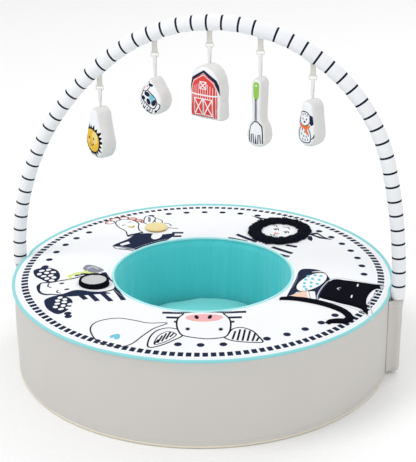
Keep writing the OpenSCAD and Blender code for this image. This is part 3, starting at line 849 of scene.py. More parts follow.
def turned_form(name, profile, cols, material):
    """Closed form turned about Z from a profile of (radius, z) that starts and ends on the axis."""
    verts, faces = [Vector((0, 0, profile[0][1]))], []
    for r, z in profile[1:-1]:
        verts += [Vector((*polar(r, TAU * j / cols), z)) for j in range(cols)]
    verts.append(Vector((0, 0, profile[-1][1])))
    rings = len(profile) - 2
    for j in range(cols):
        k = (j + 1) % cols
        faces.append((0, 1 + k, 1 + j))
        faces.append((len(verts) - 1, 1 + (rings - 1) * cols + j, 1 + (rings - 1) * cols + k))
        for i in range(rings - 1):
            a = 1 + i * cols
            faces.append((a + j, a + k, a + cols + k, a + cols + j))
    return add_mesh(name, verts, faces, material)


def make_floor_cushion():
    r, low, high = floor_hi.y - 5 * MM, floor_lo.z + 3 * MM, floor_hi.z - 5 * MM
    edge = high - 7 * MM
    profile = [(0, low), (r * 0.5, low), (r - 12 * MM, low), (r, low + 10 * MM), (r, edge - 12 * MM),
               (r - 12 * MM, edge), (r * 0.7, edge + 4 * MM), (r * 0.35, high), (0, high)]
    piece = inflate(turned_form("floor_cushion", profile, 96, M["floor"]), 6 * MM, 4.0, 6 * MM)
    limit = floor_hi.y + 0.5 * MM
    for v in piece.data.vertices:
        v.co.z = max(v.co.z, floor_lo.z) + 1.2 * MM * rough(v.co.x, v.co.y, size=0.09) * (v.co.z > edge)
        out = math.hypot(v.co.x, v.co.y)
        if out > limit:
            v.co.x *= limit / out
            v.co.y *= limit / out
    return finish_piece(piece, "ring", "floor_plush", "floor_cover", "floor_pad")


floor_cushion = make_floor_cushion()

# ------------------------------------------------------------------ pieces sewn on the cover


def edge_distance(p, loop):
    best = 1e9
    for k in range(len(loop)):
        a, b = loop[k - 1], loop[k]
        run = b - a
        t = min(max((p - a).dot(run) / max(run.length_squared, 1e-12), 0.0), 1.0)
        best = min(best, (p - a - run * t).length)
    return best


def make_puff(name, outline, base, height, soft, material, step=4 * MM, lumps=0.0):
    """Padded patch in the XY plane, rounded in at its edge and closed. base(x, y) is its underside."""
    loop = [Vector(p) for p in outline]
    lo = Vector((min(p.x for p in loop), min(p.y for p in loop)))
    hi = Vector((max(p.x for p in loop), max(p.y for p in loop)))
    grid_points = []
    y, odd = lo.y, 0
    while y < hi.y:
        x = lo.x + step * 0.5 * odd
        while x < hi.x:
            p = Vector((x, y))
            if inside(p, loop) and edge_distance(p, loop) > step * 0.4:
                grid_points.append(p)
            x += step
        y += step * 0.87
        odd = 1 - odd
    points, faces, inks = triangulate([(outline, "black")], grid_points)
    faces = [f for f, ink in zip(faces, inks) if ink]
    used = sorted({k for f in faces for k in f})
    place = {k: n for n, k in enumerate(used)}
    flat = [points[k] for k in used]
    faces = [[place[k] for k in f] for f in faces]
    for f in faces:
        a, b, c = (flat[k] for k in f)
        if (b - a).cross(c - a) < 0:
            f.reverse()
    top = []
    for p in flat:
        t = min(edge_distance(p, loop) / soft, 1.0)
        lift = height * math.sqrt(max(0.0, 1 - (1 - t) ** 2))
        lift += lumps * rough(p.x, p.y, 3, size=0.012) * t
        top.append(Vector((p.x, p.y, base(p.x, p.y) + 0.6 * MM + lift)))
    bottom = [Vector((p.x, p.y, base(p.x, p.y) + 0.1 * MM)) for p in flat]
    n = len(flat)
    sides = {}
    for f in faces:
        for k in range(3):
            sides[(f[k], f[(k + 1) % 3])] = True
    skirt = [(b, a, n + a, n + b) for a, b in sides if (b, a) not in sides]
    all_faces = faces + [[n + k for k in reversed(f)] for f in faces] + skirt
    return add_mesh(name, top + bottom, all_faces, material)


def inside(p, loop):
    hit = False
    for k in range(len(loop)):
        a, b = loop[k - 1], loop[k]
        if (a.y > p.y) != (b.y > p.y) and p.x < (b.x - a.x) * (p.y - a.y) / (b.y - a.y) + a.x:
            hit = not hit
    return hit


def on_ring(theta, points):
    c, s = math.cos(math.radians(theta)), math.sin(math.radians(theta))
    return [(MM * (u * c - v * s), MM * (u * s + v * c)) for u, v in points]


def middle_of(node_name):
    lo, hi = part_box(node_name)
    return (lo + hi) / 2, hi - lo


# Velour cat, lying across the cover with its ears outward
CAT = [(292, 49), (318, 54), (349, 57), (380, 61), (395, 64), (396, 53), (388, 36), (385, 16), (385, -8),
       (388, -26), (392, -40), (402, -66), (406, -83), (397, -76), (386, -66), (364, -62), (340, -60),
       (314, -54), (290, -46), (286, -20), (285, 14)]
cat_outline = on_ring(-7.5, [tuple(p) for p in curve_points(CAT, 5)])
cat_velour = make_puff("cat_velour", cat_outline, top_z, 4.6 * MM, 9 * MM, M["velour"], lumps=0.5 * MM)
finish_piece(cat_velour, "ring", "black_velour", "cat_patch")

TAIL = [(208, -76), (228, -71), (252, -69), (280, -72), (308, -77), (338, -86), (362, -98), (376, -116),
        (372, -134), (356, -142), (344, -150), (340, -160)]
tail_outline = on_ring(-7.5, [tuple(p) for p in stroke(TAIL, 17, ends=0.6)[0]])
cat_tail = make_puff("cat_velour_tail", tail_outline, top_z, 5 * MM, 6 * MM, M["velour"], step=3 * MM)
finish_piece(cat_tail, "ring", "black_velour", "cat_tail")


def face_marks(name, theta, outlines, lift, material, body, slot, target):
    """Thin closed patches laid on a padded piece: each outline is dropped on to the target's upper face."""
    tree = BVHTree.FromPolygons([v.co for v in target.data.vertices],
                                [tuple(f.vertices) for f in target.data.polygons])
    verts, faces = [], []
    for outline in outlines:
        flat = on_ring(theta, outline)
        first = len(verts)
        for rise in (lift, -lift):
            for x, y in flat:
                hit = tree.ray_cast(Vector((x, y, 1)), Vector((0, 0, -1)))[0]
                z = hit.z if hit else top_z(x, y)
                verts.append(Vector((x, y, z + rise)))
        n = len(flat)
        loop = list(range(first, first + n))
        if signed_area(flat) < 0:
            loop.reverse()
        faces.append(loop)
        faces.append([k + n for k in reversed(loop)])
        faces += [(loop[k], loop[k - 1], loop[k - 1] + n, loop[k] + n) for k in range(n)]
    return finish_piece(add_mesh(name, verts, faces, material, smooth=False), body, slot)


cat_marks = [bar(354, 26, 352, 39, 3), bar(357, -35, 355, -22, 3), bar(232, -73, 234, -64, 3)]
cat_marks += stroke([(322, -6), (316, 0), (322, 6)], 1.4)
face_marks("cat_stitches", -7.5, cat_marks, 0.8 * MM, M["thread"], "ring", "top_cotton", cat_velour)


def make_wool():
    """Woolly ring: a lumpy padded base with curled tufts all over it."""
    middle, size = middle_of("sheep_wool")
    wide = size.x / 2
    tube = 14 * MM
    rng = random.Random(7)
    rows, cols = 90, 20

    def base(a, b, grow=0.0):
        lump = 1 + 0.10 * math.sin(13 * a) + 0.06 * rough(math.cos(a) * 4, math.sin(a) * 4, b)
        r = wide - tube + (tube * lump + grow) * math.cos(b) - 0.4 * MM
        x, y = middle.x + r * math.cos(a), middle.y + r * math.sin(a)
        return Vector((x, y, top_z(x, y) + 0.8 * MM + (8.2 * MM * lump + grow) * max(math.sin(b), 0.0)))

    verts = [base(TAU * i / rows, TAU * j / cols) for i in range(rows) for j in range(cols)]
    faces = []
    for i in range(rows):
        for j in range(cols):
            k, m = (i + 1) % rows, (j + 1) % cols
            faces.append((i * cols + j, k * cols + j, k * cols + m, i * cols + m))
    for _ in range(2600):
        a, b = rng.uniform(0, TAU), rng.uniform(0.02, math.pi - 0.02)
        root = base(a, b, -1.0 * MM)
        out = (base(a, b, 2 * MM) - root).normalized()
        bend = Vector((rng.uniform(-1, 1), rng.uniform(-1, 1), rng.uniform(-0.4, 0.5)))
        length, thick = rng.uniform(2.6, 4.4) * MM, rng.uniform(0.8, 1.3) * MM
        side = out.orthogonal().normalized()
        other = out.cross(side)
        first = len(verts)
        for step, width in ((0.0, 1.0), (0.45, 1.15), (0.85, 0.7)):
            centre = root + (out * step + bend * 0.35 * step * step) * length
            for k in range(5):
                w = TAU * k / 5
                verts.append(centre + (side * math.cos(w) + other * math.sin(w)) * thick * width)
        verts.append(root + (out + bend * 0.5) * length)
        for ring in (0, 5):
            for k in range(5):
                m = (k + 1) % 5
                faces.append((first + ring + k, first + ring + m, first + ring + 5 + m, first + ring + 5 + k))
        faces += [(first + 10 + k, first + 10 + (k + 1) % 5, first + 15) for k in range(5)]
        faces.append(tuple(first + k for k in range(5))[::-1])
    return finish_piece(add_mesh("wool_ring", verts, faces, M["wool"]), "ring", "navy_wool", "sheep_wool")


make_wool()


def make_mirror_rim():
    middle, size = middle_of("mirror_rim")
    disc_lo, disc_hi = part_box("mirror_disc")
    disc_r = (disc_hi.x - disc_lo.x) / 2
    outer = size.x / 2
    inner = disc_r - 1.2 * MM
    rows, cols = 120, 24
    tube = (outer - inner) / 2

    def point(i, j):
        a, b = TAU * i / rows, TAU * j / cols
        ridge = 1 + 0.04 * rough(math.cos(a) * 9, math.sin(a) * 9, b) + 0.03 * math.sin(44 * a)
        r = inner + tube + tube * ridge * math.cos(b)
        x, y = middle.x + r * math.cos(a), middle.y + r * math.sin(a)
        floor_z = top_z(x, y) + 0.2 * MM
        crown_z = disc_hi.z + 2.2 * MM
        if b > math.pi:
            return Vector((x, y, floor_z + 0.1 * MM))
        return Vector((x, y, floor_z + (crown_z - floor_z) * ridge * math.sin(b) ** 0.7))

    verts = [point(i, j) for i in range(rows) for j in range(cols)]
    faces = []
    for i in range(rows):
        for j in range(cols):
            k, m = (i + 1) % rows, (j + 1) % cols
            faces.append((i * cols + j, k * cols + j, k * cols + m, i * cols + m))
    return finish_piece(add_mesh("mirror_frame", verts, faces, M["velour"]), "ring", "black_velour",
                        "mirror_rim")


make_mirror_rim()


def make_flap():
    """Padded disc with a stitched border, a little domed."""
    middle, size = middle_of("hen_flap")
    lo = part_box("hen_flap")[0]
    r = size.x / 2
    outline = [(middle.x + x, middle.y + y) for x, y in circle_points(r, 72)]
    piece = make_puff("yellow_flap", outline, lambda x, y: lo.z, 2.8 * MM, 4 * MM, M["yellow"], step=3 * MM)
    for v in piece.data.vertices:
        d = math.hypot(v.co.x - middle.x, v.co.y - middle.y)
        if v.co.z > lo.z + 1 * MM:
            v.co.z -= 0.9 * MM * math.exp(-((d - r + 5.5 * MM) / (1.4 * MM)) ** 2)
            v.co.z += 0.5 * MM * rough(v.co.x, v.co.y, size=0.02)
    finish_piece(piece, "hen_flap", "yellow_velour", "hen_flap")
    row = []
    n = 46
    for k in range(n):
        a = TAU * k / n
        out = Vector((math.cos(a), math.sin(a), 0))
        row.append((Vector((middle.x, middle.y, lo.z + 2.5 * MM)) + out * (r - 5.5 * MM),
                    Vector((-out.y, out.x, 0)), Vector((0, 0, 1))))
    stitch_row("flap_stitching", row, 2.6 * MM, 0.8 * MM, M["thread"], "hen_flap", "yellow_velour")


make_flap()

# ------------------------------------------------------------------ leg pockets and zip


def make_pocket(name, node, side):
    """Slim canvas channel: flared on to the wall, faceted outside, hemmed at its mouth and closed below."""
    low, high = pocket_lo.z, pocket_hi.z
    thick = 2.2 * MM
    seam_y = 20 * MM
    seam = Vector((WALL_R - LEG_X + 0.4 * MM, seam_y))
    half = [seam, Vector((-9, 13.8)) * MM, Vector((-2, 11.2)) * MM, Vector((4, 9.4)) * MM,
            Vector((8, 6.4)) * MM, Vector((10.8, 2.6)) * MM, Vector((11.3, 0)) * MM]
    route = curve_points(half + [Vector((p.x, -p.y)) for p in half[-2::-1]], 6, closed=False)
    rows = 44
    cols = len(route)

    def place(t, j, inner):
        z = low + (high - low) * t
        p = route[j]
        free = smooth_step(p.x, seam.x, 0)
        hem = 0.8 * MM * (smooth_step(t, 0.925, 0.94) - 0.6 * smooth_step(t, 0.985, 1.0))
        mouth = 0.8 * MM * smooth_step(t, 0.8, 1.0)
        slack = 0.8 * MM * rough(p.y, z, side * 3.0, size=0.035)
        taper = 1.5 * MM * (1 - t) + 2.0 * MM * (1 - smooth_step(t, 0.0, 0.05))
        out = p.normalized() * (p.length + (hem + mouth + slack - taper) * free - (thick if inner else 0.0))
        x, y = LEG_X + out.x, out.y
        r = math.hypot(x, y)
        if r < WALL_R + 0.5 * MM:
            x *= (WALL_R + 0.5 * MM) / r
        return Vector((side * x, y, z))

    verts = []
    for i in range(rows):
        verts += [place(i / (rows - 1), j, False) for j in range(cols)]
    for i in range(rows):
        t = max(i / (rows - 1), 0.02)
        verts += [place(t, j, True) for j in range(cols)]
    faces = []
    back = rows * cols
    for i in range(rows - 1):
        for j in range(cols - 1):
            a = i * cols + j
            faces.append((a, a + 1, a + cols + 1, a + cols))
            faces.append((back + a, back + a + cols, back + a + cols + 1, back + a + 1))
        for j in (0, cols - 1):
            a = i * cols + j
            quad = (a, a + cols, back + a + cols, back + a)
            faces.append(quad if j == 0 else quad[::-1])
    for j in range(cols - 1):
        a = (rows - 1) * cols + j
        faces.append((a, a + 1, back + a + 1, back + a))
    faces.append(tuple(range(cols))[::-1])
    faces.append(tuple(back + k for k in range(cols)))
    faces.append((0, back, back + cols - 1, cols - 1))
    if side > 0:
        faces = [tuple(reversed(f)) for f in faces]
    piece = add_mesh(name, verts, faces, M["canvas"])
    flat = [(k % cols * 2.2 * MM, v.z) for k, v in enumerate(verts)]
    give_uv(piece, flat)
    finish_piece(piece, "ring", "side_canvas", node)
    rows_of = []
    for z in (high - 13.5 * MM,):
        for j in range(2, cols - 2):
            a = place((z - low) / (high - low), j, False)
            b = place((z - low) / (high - low), j + 1, False)
            run = (b - a).normalized()
            out = Vector((run.y, -run.x, 0)) * (1 if side < 0 else -1)
            centre = Vector((side * LEG_X, 0, z))
            if out.dot(a - centre) < 0:
                out = -out
            rows_of.append(((a + b) / 2 + out * 0.2 * MM, run, out))
    for y in (-17.5 * MM, 17.5 * MM):
        for k in range(36):
            z = low + 8 * MM + k * 4.4 * MM
            x = math.sqrt((WALL_R + 3.3 * MM) ** 2 - y * y)
            out = Vector((side * 0.75, math.copysign(0.66, y), 0))
            rows_of.append((Vector((side * x, y, z)), Vector((0, 0, 1)), out))
    stitch_row(name + "_stitching", rows_of, 2.8 * MM, 0.7 * MM, M["thread"], "ring", "side_canvas")
    return piece


for pocket_name, pocket_node, pocket_side in (("left_leg_pocket", "pocket_left", -1),
                                              ("right_leg_pocket", "pocket_right", 1)):
    make_pocket(pocket_name, pocket_node, pocket_side)


def make_zip_teeth():
    """Interlocked moulded teeth along the middle of the zip's tape."""
    tape_lo, tape_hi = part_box("zip_tape")
    z = (tape_lo.z + tape_hi.z) / 2
    r = tape_hi.y + 0.2 * MM
    half = math.asin(tape_hi.x / tape_hi.y) - 0.02
    pitch = 2.4 * MM / r
    count = int(2 * half / pitch)
    verts, faces = [], []
    for k in range(count):
        a = math.pi / 2 - half + k * pitch
        out = Vector((math.cos(a), math.sin(a), 0))
        run = Vector((-out.y, out.x, 0))
        up = Vector((0, 0, 1 if k % 2 else -1))
        centre = out * r + Vector((0, 0, z)) + up * 1.0 * MM
        first = len(verts)
        for depth, grow in ((-0.9, 1.0), (0.5, 1.0), (1.1, 0.6)):
            for x, y in ((-0.8, -1.9), (0.8, -1.9), (0.8, 1.9), (-0.8, 1.9)):
                verts.append(centre + out * depth * MM + run * x * grow * MM + up * y * grow * MM)
        for ring in (0, 4):
            for m in range(4):
                n = (m + 1) % 4
                faces.append((first + ring + m, first + ring + n, first + ring + 4 + n, first + ring + 4 + m))
        faces.append((first + 8, first + 9, first + 10, first + 11))
        faces.append((first + 3, first + 2, first + 1, first))
    teeth = add_mesh("zip_teeth", verts, faces, M["ring"], smooth=False)
    recalc(teeth)
    finish_piece(teeth, "ring", "zip_metal")
    row = []
    for dz in (-9 * MM, 9 * MM):
        for k in range(170):
            a = math.pi / 2 - half + 2 * half * k / 169
            out = Vector((math.cos(a), math.sin(a), 0))
            row.append((out * (r + 0.1 * MM) + Vector((0, 0, z + dz)), Vector((-out.y, out.x, 0)), out))
    stitch_row("zip_stitching", row, 2.6 * MM, 0.7 * MM, M["thread"], "ring", "zip_tape")


def recalc(piece):
    work = bmesh.new()
    work.from_mesh(piece.data)
    bmesh.ops.recalc_face_normals(work, faces=work.faces)
    work.to_mesh(piece.data)
    work.free()


make_zip_teeth()


def make_base():
    """Woven disc with rows of small rubber dots that grip the floor."""
    base_lo, base_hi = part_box("base_cover")
    r = base_hi.y
    profile = [(0, base_lo.z + 0.8 * MM), (r - 3 * MM, base_lo.z + 0.8 * MM),
               (r - 1 * MM, base_lo.z + 1.2 * MM), (r, base_hi.z - 0.5 * MM), (r - 1 * MM, base_hi.z),
               (0, base_hi.z)]
    disc = turned_form("base_disc", profile, 160, M["base"])
    recalc(disc)
    finish_piece(disc, "ring", "base_fabric", "base_cover")
    verts, faces = [], []
    for x, y in ring_filler(30 * MM, r - 14 * MM, 24 * MM):
        first = len(verts)
        for rr, z in ((3.4, 0.9), (3.0, 0.3), (1.8, 0.0)):
            verts += [Vector((x + rr * MM * math.cos(TAU * k / 10), y + rr * MM * math.sin(TAU * k / 10),
                              base_lo.z + z * MM)) for k in range(10)]
        for ring in (0, 10):
            for k in range(10):
                m = (k + 1) % 10
                faces.append((first + ring + k, first + ring + 10 + k, first + ring + 10 + m,
                              first + ring + m))
        faces.append(tuple(first + 20 + k for k in range(10))[::-1])
        faces.append(tuple(first + k for k in range(10)))
    dots = add_mesh("grip_dots", verts, faces, M["rubber"])
    recalc(dots)
    finish_piece(dots, "ring", "foot_plastic")


make_base()

# ------------------------------------------------------------------ the arch's sleeve

LEFT_C = (-LEG_X + LEFT_R, SPRING_Z)
RIGHT_C = (LEG_X - RIGHT_R, SPRING_Z)
APART = LEFT_C[0] - RIGHT_C[0]
ALONG = ((LEFT_R - CROWN_R) ** 2 - (RIGHT_R - CROWN_R) ** 2 + APART ** 2) / (2 * APART)
CROWN_C = (LEFT_C[0] - ALONG, SPRING_Z + math.sqrt((LEFT_R - CROWN_R) ** 2 - ALONG ** 2))
LEFT_TURN = math.atan2(CROWN_C[1] - LEFT_C[1], CROWN_C[0] - LEFT_C[0])
RIGHT_TURN = math.atan2(CROWN_C[1] - RIGHT_C[1], CROWN_C[0] - RIGHT_C[0])
LEG_LEN = SPRING_Z - sleeve_lo.z
STRETCHES = [LEG_LEN, LEFT_R * (math.pi - LEFT_TURN), CROWN_R * (LEFT_TURN - RIGHT_TURN),
             RIGHT_R * RIGHT_TURN, LEG_LEN]
ARCH_LEN = sum(STRETCHES)


def arch_at(s):
    """Centre of the arch at length s from the left leg's end, and the direction out of its curve."""
    for k, length in enumerate(STRETCHES):
        if s <= length or k == 4:
            break
        s -= length
    if k == 0:
        return Vector((-LEG_X, 0, sleeve_lo.z + s)), Vector((-1, 0, 0))
    if k == 4:
        return Vector((LEG_X, 0, SPRING_Z - s)), Vector((1, 0, 0))
    centre, radius, start = ((LEFT_C, LEFT_R, math.pi), (CROWN_C, CROWN_R, LEFT_TURN),
                             (RIGHT_C, RIGHT_R, RIGHT_TURN))[k - 1]
    a = start - s / radius
    out = Vector((math.cos(a), 0, math.sin(a)))
    return Vector((centre[0], 0, centre[1])) + out * radius, out


def arch_z(x):
    """Height of the arch's centreline over x, for the stretches that carry toys."""
    if x < CROWN_C[0] + CROWN_R * math.cos(LEFT_TURN):
        return LEFT_C[1] + math.sqrt(LEFT_R ** 2 - (x - LEFT_C[0]) ** 2)
    return CROWN_C[1] + math.sqrt(CROWN_R ** 2 - (x - CROWN_C[0]) ** 2)


def arch_s(x):
    """Length along the arch of the point over x on its upper stretches."""
    low, high = STRETCHES[0], ARCH_LEN - STRETCHES[4]
    for _ in range(40):
        middle = (low + high) / 2
        if arch_at(middle)[0].x < x:
            low = middle
        else:
            high = middle
    return low


STRIPE_W = 4.6 * MM
STRIPE_PITCH = 33 * MM
# Two runs of stripes, from the left leg and down to the right leg, that meet at a wider gap over the barn
STRIPES = [(22 + 33.3 * k) * MM for k in range(28)] + [(969 + 32.8 * k) * MM for k in range(21)]


def make_sleeve():
    rng = random.Random(3)
    marks = [s + rng.uniform(-1.6, 1.6) * MM for s in STRIPES]
    stops = [0.0, ARCH_LEN]
    for s in marks:
        stops += [s - STRIPE_W / 2, s + STRIPE_W / 2]
    stops.sort()
    rings = []
    for a, b in zip(stops, stops[1:]):
        n = max(1, round((b - a) / (3.6 * MM)))
        rings += [a + (b - a) * k / n for k in range(n)]
    rings.append(ARCH_LEN)
    cols = 36
    tabs = [arch_s(x * MM) for x, _ in TOYS.values()]
    verts, uvs = [], []
    for s in rings:
        centre, out = arch_at(s)
        near = min(abs(s - m) for m in marks)
        puff = 0.5 * MM * math.cos(TAU * min(near, STRIPE_PITCH / 2) / STRIPE_PITCH)
        grow = smooth_step(min(s, ARCH_LEN - s), 0.03, 0.7)
        pull = max(math.exp(-((s - t) / (16 * MM)) ** 2) for t in tabs)
        end = smooth_step(min(s, ARCH_LEN - s), 0.0, 0.006)
        for j in range(cols):
            b = TAU * j / cols
            around = Vector((out.x * math.cos(b), math.sin(b), out.z * math.cos(b)))
            inner = max(0.0, -math.cos(b))
            wrinkle = 0.5 * MM * inner * math.sin(s / (2.1 * MM) + 2 * rough(s, b, size=0.03)) * grow
            wrinkle += 0.7 * MM * rough(s, math.sin(b) * 0.02, math.cos(b) * 0.02, size=0.022) * grow
            tug = 1.6 * MM * pull * inner ** 3
            r = ((15.3 + 1.3 * grow) * MM * (0.93 + 0.07 * end) - puff * (0.5 + 0.5 * grow)
                 + wrinkle * (1 - 0.5 * pull) + tug)
            p = centre + around * r
            verts.append(p)
            uvs.append((s, b * 16 * MM))
    faces, colours = [], []
    for i in range(len(rings) - 1):
        middle = (rings[i] + rings[i + 1]) / 2
        striped = any(abs(middle - m) < STRIPE_W / 2 for m in marks)
        for j in range(cols):
            k = (j + 1) % cols
            faces.append((i * cols + j, i * cols + k, (i + 1) * cols + k, (i + 1) * cols + j))
            colours.append("stripe" if striped else "cloth")
    last = (len(rings) - 1) * cols
    turned_in = []
    for row, s, sign in ((0, 0.0, 1), (last, ARCH_LEN, -1)):
        centre, out = arch_at(s)
        first = len(verts)
        for j in range(cols):
            b = TAU * j / cols
            around = Vector((out.x * math.cos(b), math.sin(b), out.z * math.cos(b)))
            inset = centre + around * 13.2 * MM + (arch_at(s + sign * 2 * MM)[0] - centre) * 1.0
            verts.append(inset)
            uvs.append((s, b * 13 * MM))
        turned_in.append((row, first, sign))
    for row, first, sign in turned_in:
        for j in range(cols):
            k = (j + 1) % cols
            quad = (row + j, first + j, first + k, row + k)
            faces.append(quad if sign > 0 else quad[::-1])
            colours.append("cloth")
    piece = add_mesh("striped_sleeve", verts, faces, M["sleeve"])
    give_ink(piece, colours)
    give_uv(piece, uvs)
    return finish_piece(piece, "arch", "sleeve_cotton", "arch_sleeve")


striped_sleeve = make_sleeve()

# ------------------------------------------------------------------ straps, links and ribbons


def sweep_band(name, path, wides, widths, thick, material):
    """A flat strap with rounded edges along a path; each point has its own width and width direction."""
    section = [(-0.5, 0.0), (-0.47, 0.38), (-0.3, 0.5), (0.3, 0.5), (0.47, 0.38), (0.5, 0.0), (0.47, -0.38),
               (0.3, -0.5), (-0.3, -0.5), (-0.47, -0.38)]
    m = len(section)
    verts, faces = [], []
    for i, p in enumerate(path):
        run = (path[min(i + 1, len(path) - 1)] - path[max(i - 1, 0)]).normalized()
        wide = (wides[i] - run * wides[i].dot(run)).normalized()
        up = run.cross(wide)
        for x, y in section:
            verts.append(p + wide * widths[i] * x + up * thick * y)
    for i in range(len(path) - 1):
        for k in range(m):
            n = (k + 1) % m
            faces.append((i * m + k, i * m + n, (i + 1) * m + n, (i + 1) * m + k))
    faces.append(tuple(range(m))[::-1])
    faces.append(tuple((len(path) - 1) * m + k for k in range(m)))
    piece = add_mesh(name, verts, faces, material)
    recalc(piece)
    return piece


def sweep_wire(name, path, radius, material, sides=14):
    """A round bar bent along a closed path in the XZ plane."""
    n = len(path)
    verts, faces = [], []
    for i, p in enumerate(path):
        run = (path[(i + 1) % n] - path[i - 1]).normalized()
        side = Vector((0, 1, 0))
        up = run.cross(side)
        verts += [p + (side * math.cos(TAU * k / sides) + up * math.sin(TAU * k / sides)) * radius
                  for k in range(sides)]
    for i in range(n):
        j = (i + 1) % n
        for k in range(sides):
            m = (k + 1) % sides
            faces.append((i * sides + k, i * sides + m, j * sides + m, j * sides + k))
    piece = add_mesh(name, verts, faces, material)
    recalc(piece)
    return piece


def make_strap(toy, x):
    """Webbing folded round the link's upper bar, with both ends sewn under the sleeve."""
    bar_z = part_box(toy + "_ring")[1].z - LINK_R
    loop_r = 2.2 * MM
    start = arch_z(x) - 15.2 * MM
    side = [Vector((x, 1.0 * MM, start)), Vector((x, 0.9 * MM, start - 5 * MM)),
            Vector((x, 0.9 * MM, bar_z + 12 * MM)), Vector((x, 1.2 * MM, bar_z + 6 * MM))]
    fold = [Vector((x, loop_r * math.sin(a), bar_z + loop_r * math.cos(a)))
            for a in (math.radians(d) for d in range(50, 311, 20))]
    path = curve_points(side + fold + [Vector((p.x, -p.y, p.z)) for p in side[::-1]], 3, closed=False)
    wide = [Vector((1, 0, 0))] * len(path)
    widths = []
    for p in path:
        t = smooth_step(p.z, bar_z, start)
        widths.append((12.4 - 1.0 * math.sin(math.pi * t)) * MM)
    piece = sweep_band(toy + "_strap", path, wide, widths, 1.1 * MM, M["webbing"])
    finish_piece(piece, "arch", "tab_webbing", toy + "_tab")
    row = []
    for z in (start - 4 * MM, bar_z + 5.5 * MM):
        for k in range(4):
            for y in (-1.55 * MM, 1.55 * MM):
                row.append((Vector((x + (k - 1.5) * 2.6 * MM, y, z)), Vector((1, 0, 0)),
                            Vector((0, math.copysign(1, y), 0))))
    stitch_row(toy + "_strap_stitching", row, 1.9 * MM, 0.6 * MM, M["thread"], "arch", "tab_webbing")


def make_link(toy):
    """Flat moulded ring with rounded corners."""
    lo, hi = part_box(toy + "_ring")
    r = LINK_R
    half_x, half_z = (hi.x - lo.x) / 2 - r, (hi.z - lo.z) / 2 - r
    corner = 2.2 * MM
    middle = (lo + hi) / 2
    path = []
    for cx, cz, start in ((1, 1, 0), (-1, 1, 90), (-1, -1, 180), (1, -1, 270)):
        for k in range(5):
            a = math.radians(start + 22.5 * k)
            path.append(middle + Vector((cx * (half_x - corner) + corner * math.cos(a), 0,
                                         cz * (half_z - corner) + corner * math.sin(a))))
    finish_piece(sweep_wire(toy + "_ring_link", path, r, M["ring"]), toy + "_link", "ring_plastic",
                 toy + "_ring")


def make_ribbon(toy, x, turn):
    """Ribbon over the link's lower bar; its strands draw together and twist into the toy's seam."""
    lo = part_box(toy + "_ribbon")[0]
    bar_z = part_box(toy + "_ring")[0].z + LINK_R
    loop_r = 2.9 * MM
    foot = lo.z - 4 * MM
    path, wides, widths = [], [], []
    steps = 26
    for sign in (1, -1):
        strand = []
        for k in range(steps):
            t = k / (steps - 1)
            z = foot + (bar_z - 1.0 * MM - foot) * t
            twist = math.radians(turn) * (1 - smooth_step(t, 0.1, 0.9))
            apart = (0.8 + 2.1 * smooth_step(t, 0.3, 1.0)) * MM
            spread = sign * 2.2 * MM * math.sin(math.pi * min(1, t * 1.2)) * (1 - t)
            wide = Vector((math.cos(twist), math.sin(twist), 0))
            away = Vector((-math.sin(twist), math.cos(twist), 0))
            strand.append((Vector((x, 0, z)) + away * sign * apart + wide * spread, wide,
                           (5.4 + 2.2 * t) * MM))
        if sign < 0:
            strand.reverse()
            for d in range(80, -81, -20):
                a = math.radians(d)
                path.append(Vector((x, loop_r * math.sin(a), bar_z + loop_r * math.cos(a))))
                wides.append(Vector((1, 0, 0)))
                widths.append(7.6 * MM)
        for p, wide, width in strand:
            path.append(p)
            wides.append(wide)
            widths.append(width)
    piece = sweep_band(toy + "_loop", path, wides, widths, 0.8 * MM, M["ribbon"])
    finish_piece(piece, toy + "_toy", "ribbon_satin", toy + "_ribbon")


# ------------------------------------------------------------------ the soft toys
# Outlines and prints are drawn in mm in the plane of a toy's face: x to its right, y up from its top.


def hull_of(*circles):
    points = []
    for x, y, r in circles:
        points += [Vector(p) for p in ellipse(x, y, r, r, steps=48)]
    return [tuple(points[k]) for k in geometry.convex_hull_2d(points)]


def fork_outline():
    right = [(0, 0), (8, -2), (14, -9), (15.5, -18), (15, -50), (14, -88), (16, -98), (23, -112),
             (25.5, -130), (23, -144), (14, -153), (0, -155.5)]
    return [tuple(p) for p in curve_points(right + [(-x, y) for x, y in right[-2:0:-1]], 4)]


def even_loop(loop, step):
    """The same closed outline with points at even steps, counter-clockwise."""
    pts = [Vector(p) for p in loop]
    lengths = [(pts[k] - pts[k - 1]).length for k in range(len(pts))]
    total = sum(lengths)
    n = round(total / step)
    out, k, passed = [], 0, 0.0
    for m in range(n):
        want = total * m / n
        while passed + lengths[(k + 1) % len(pts)] < want:
            k += 1
            passed += lengths[k % len(pts)]
        a, b = pts[k % len(pts)], pts[(k + 1) % len(pts)]
        out.append(a + (b - a) * ((want - passed) / max(lengths[(k + 1) % len(pts)], 1e-9)))
    return out if signed_area(out) > 0 else out[::-1]


def inset_loop(loop, amount):
    n = len(loop)
    out = []
    for k, p in enumerate(loop):
        run = (loop[(k + 2) % n] - loop[k - 2]).normalized()
        out.append(p + Vector((-run.y, run.x)) * amount)
    return out


OUTLINES = {
    "sun": hull_of((0, -20, 20), (-2, -82, 39)),
    "calf": hull_of((2, -9, 9), (0, -50, 36)),
    "barn": [(-8, 0), (8, 0), (26, -9), (38, -26), (43, -50), (43, -122), (-43, -122), (-43, -50), (-38, -26),
             (-26, -9)],
    "fork": fork_outline(),
    "pup": hull_of((2, -20, 20), (0, -76, 30)),
}


def closed(points):
    return [tuple(p) for p in curve_points(points, 5)]


def inked(ink, points, width, **how):
    """A drawn line's outlines, each with its ink."""
    return [(o, ink) for o in stroke(points, width, **how)]


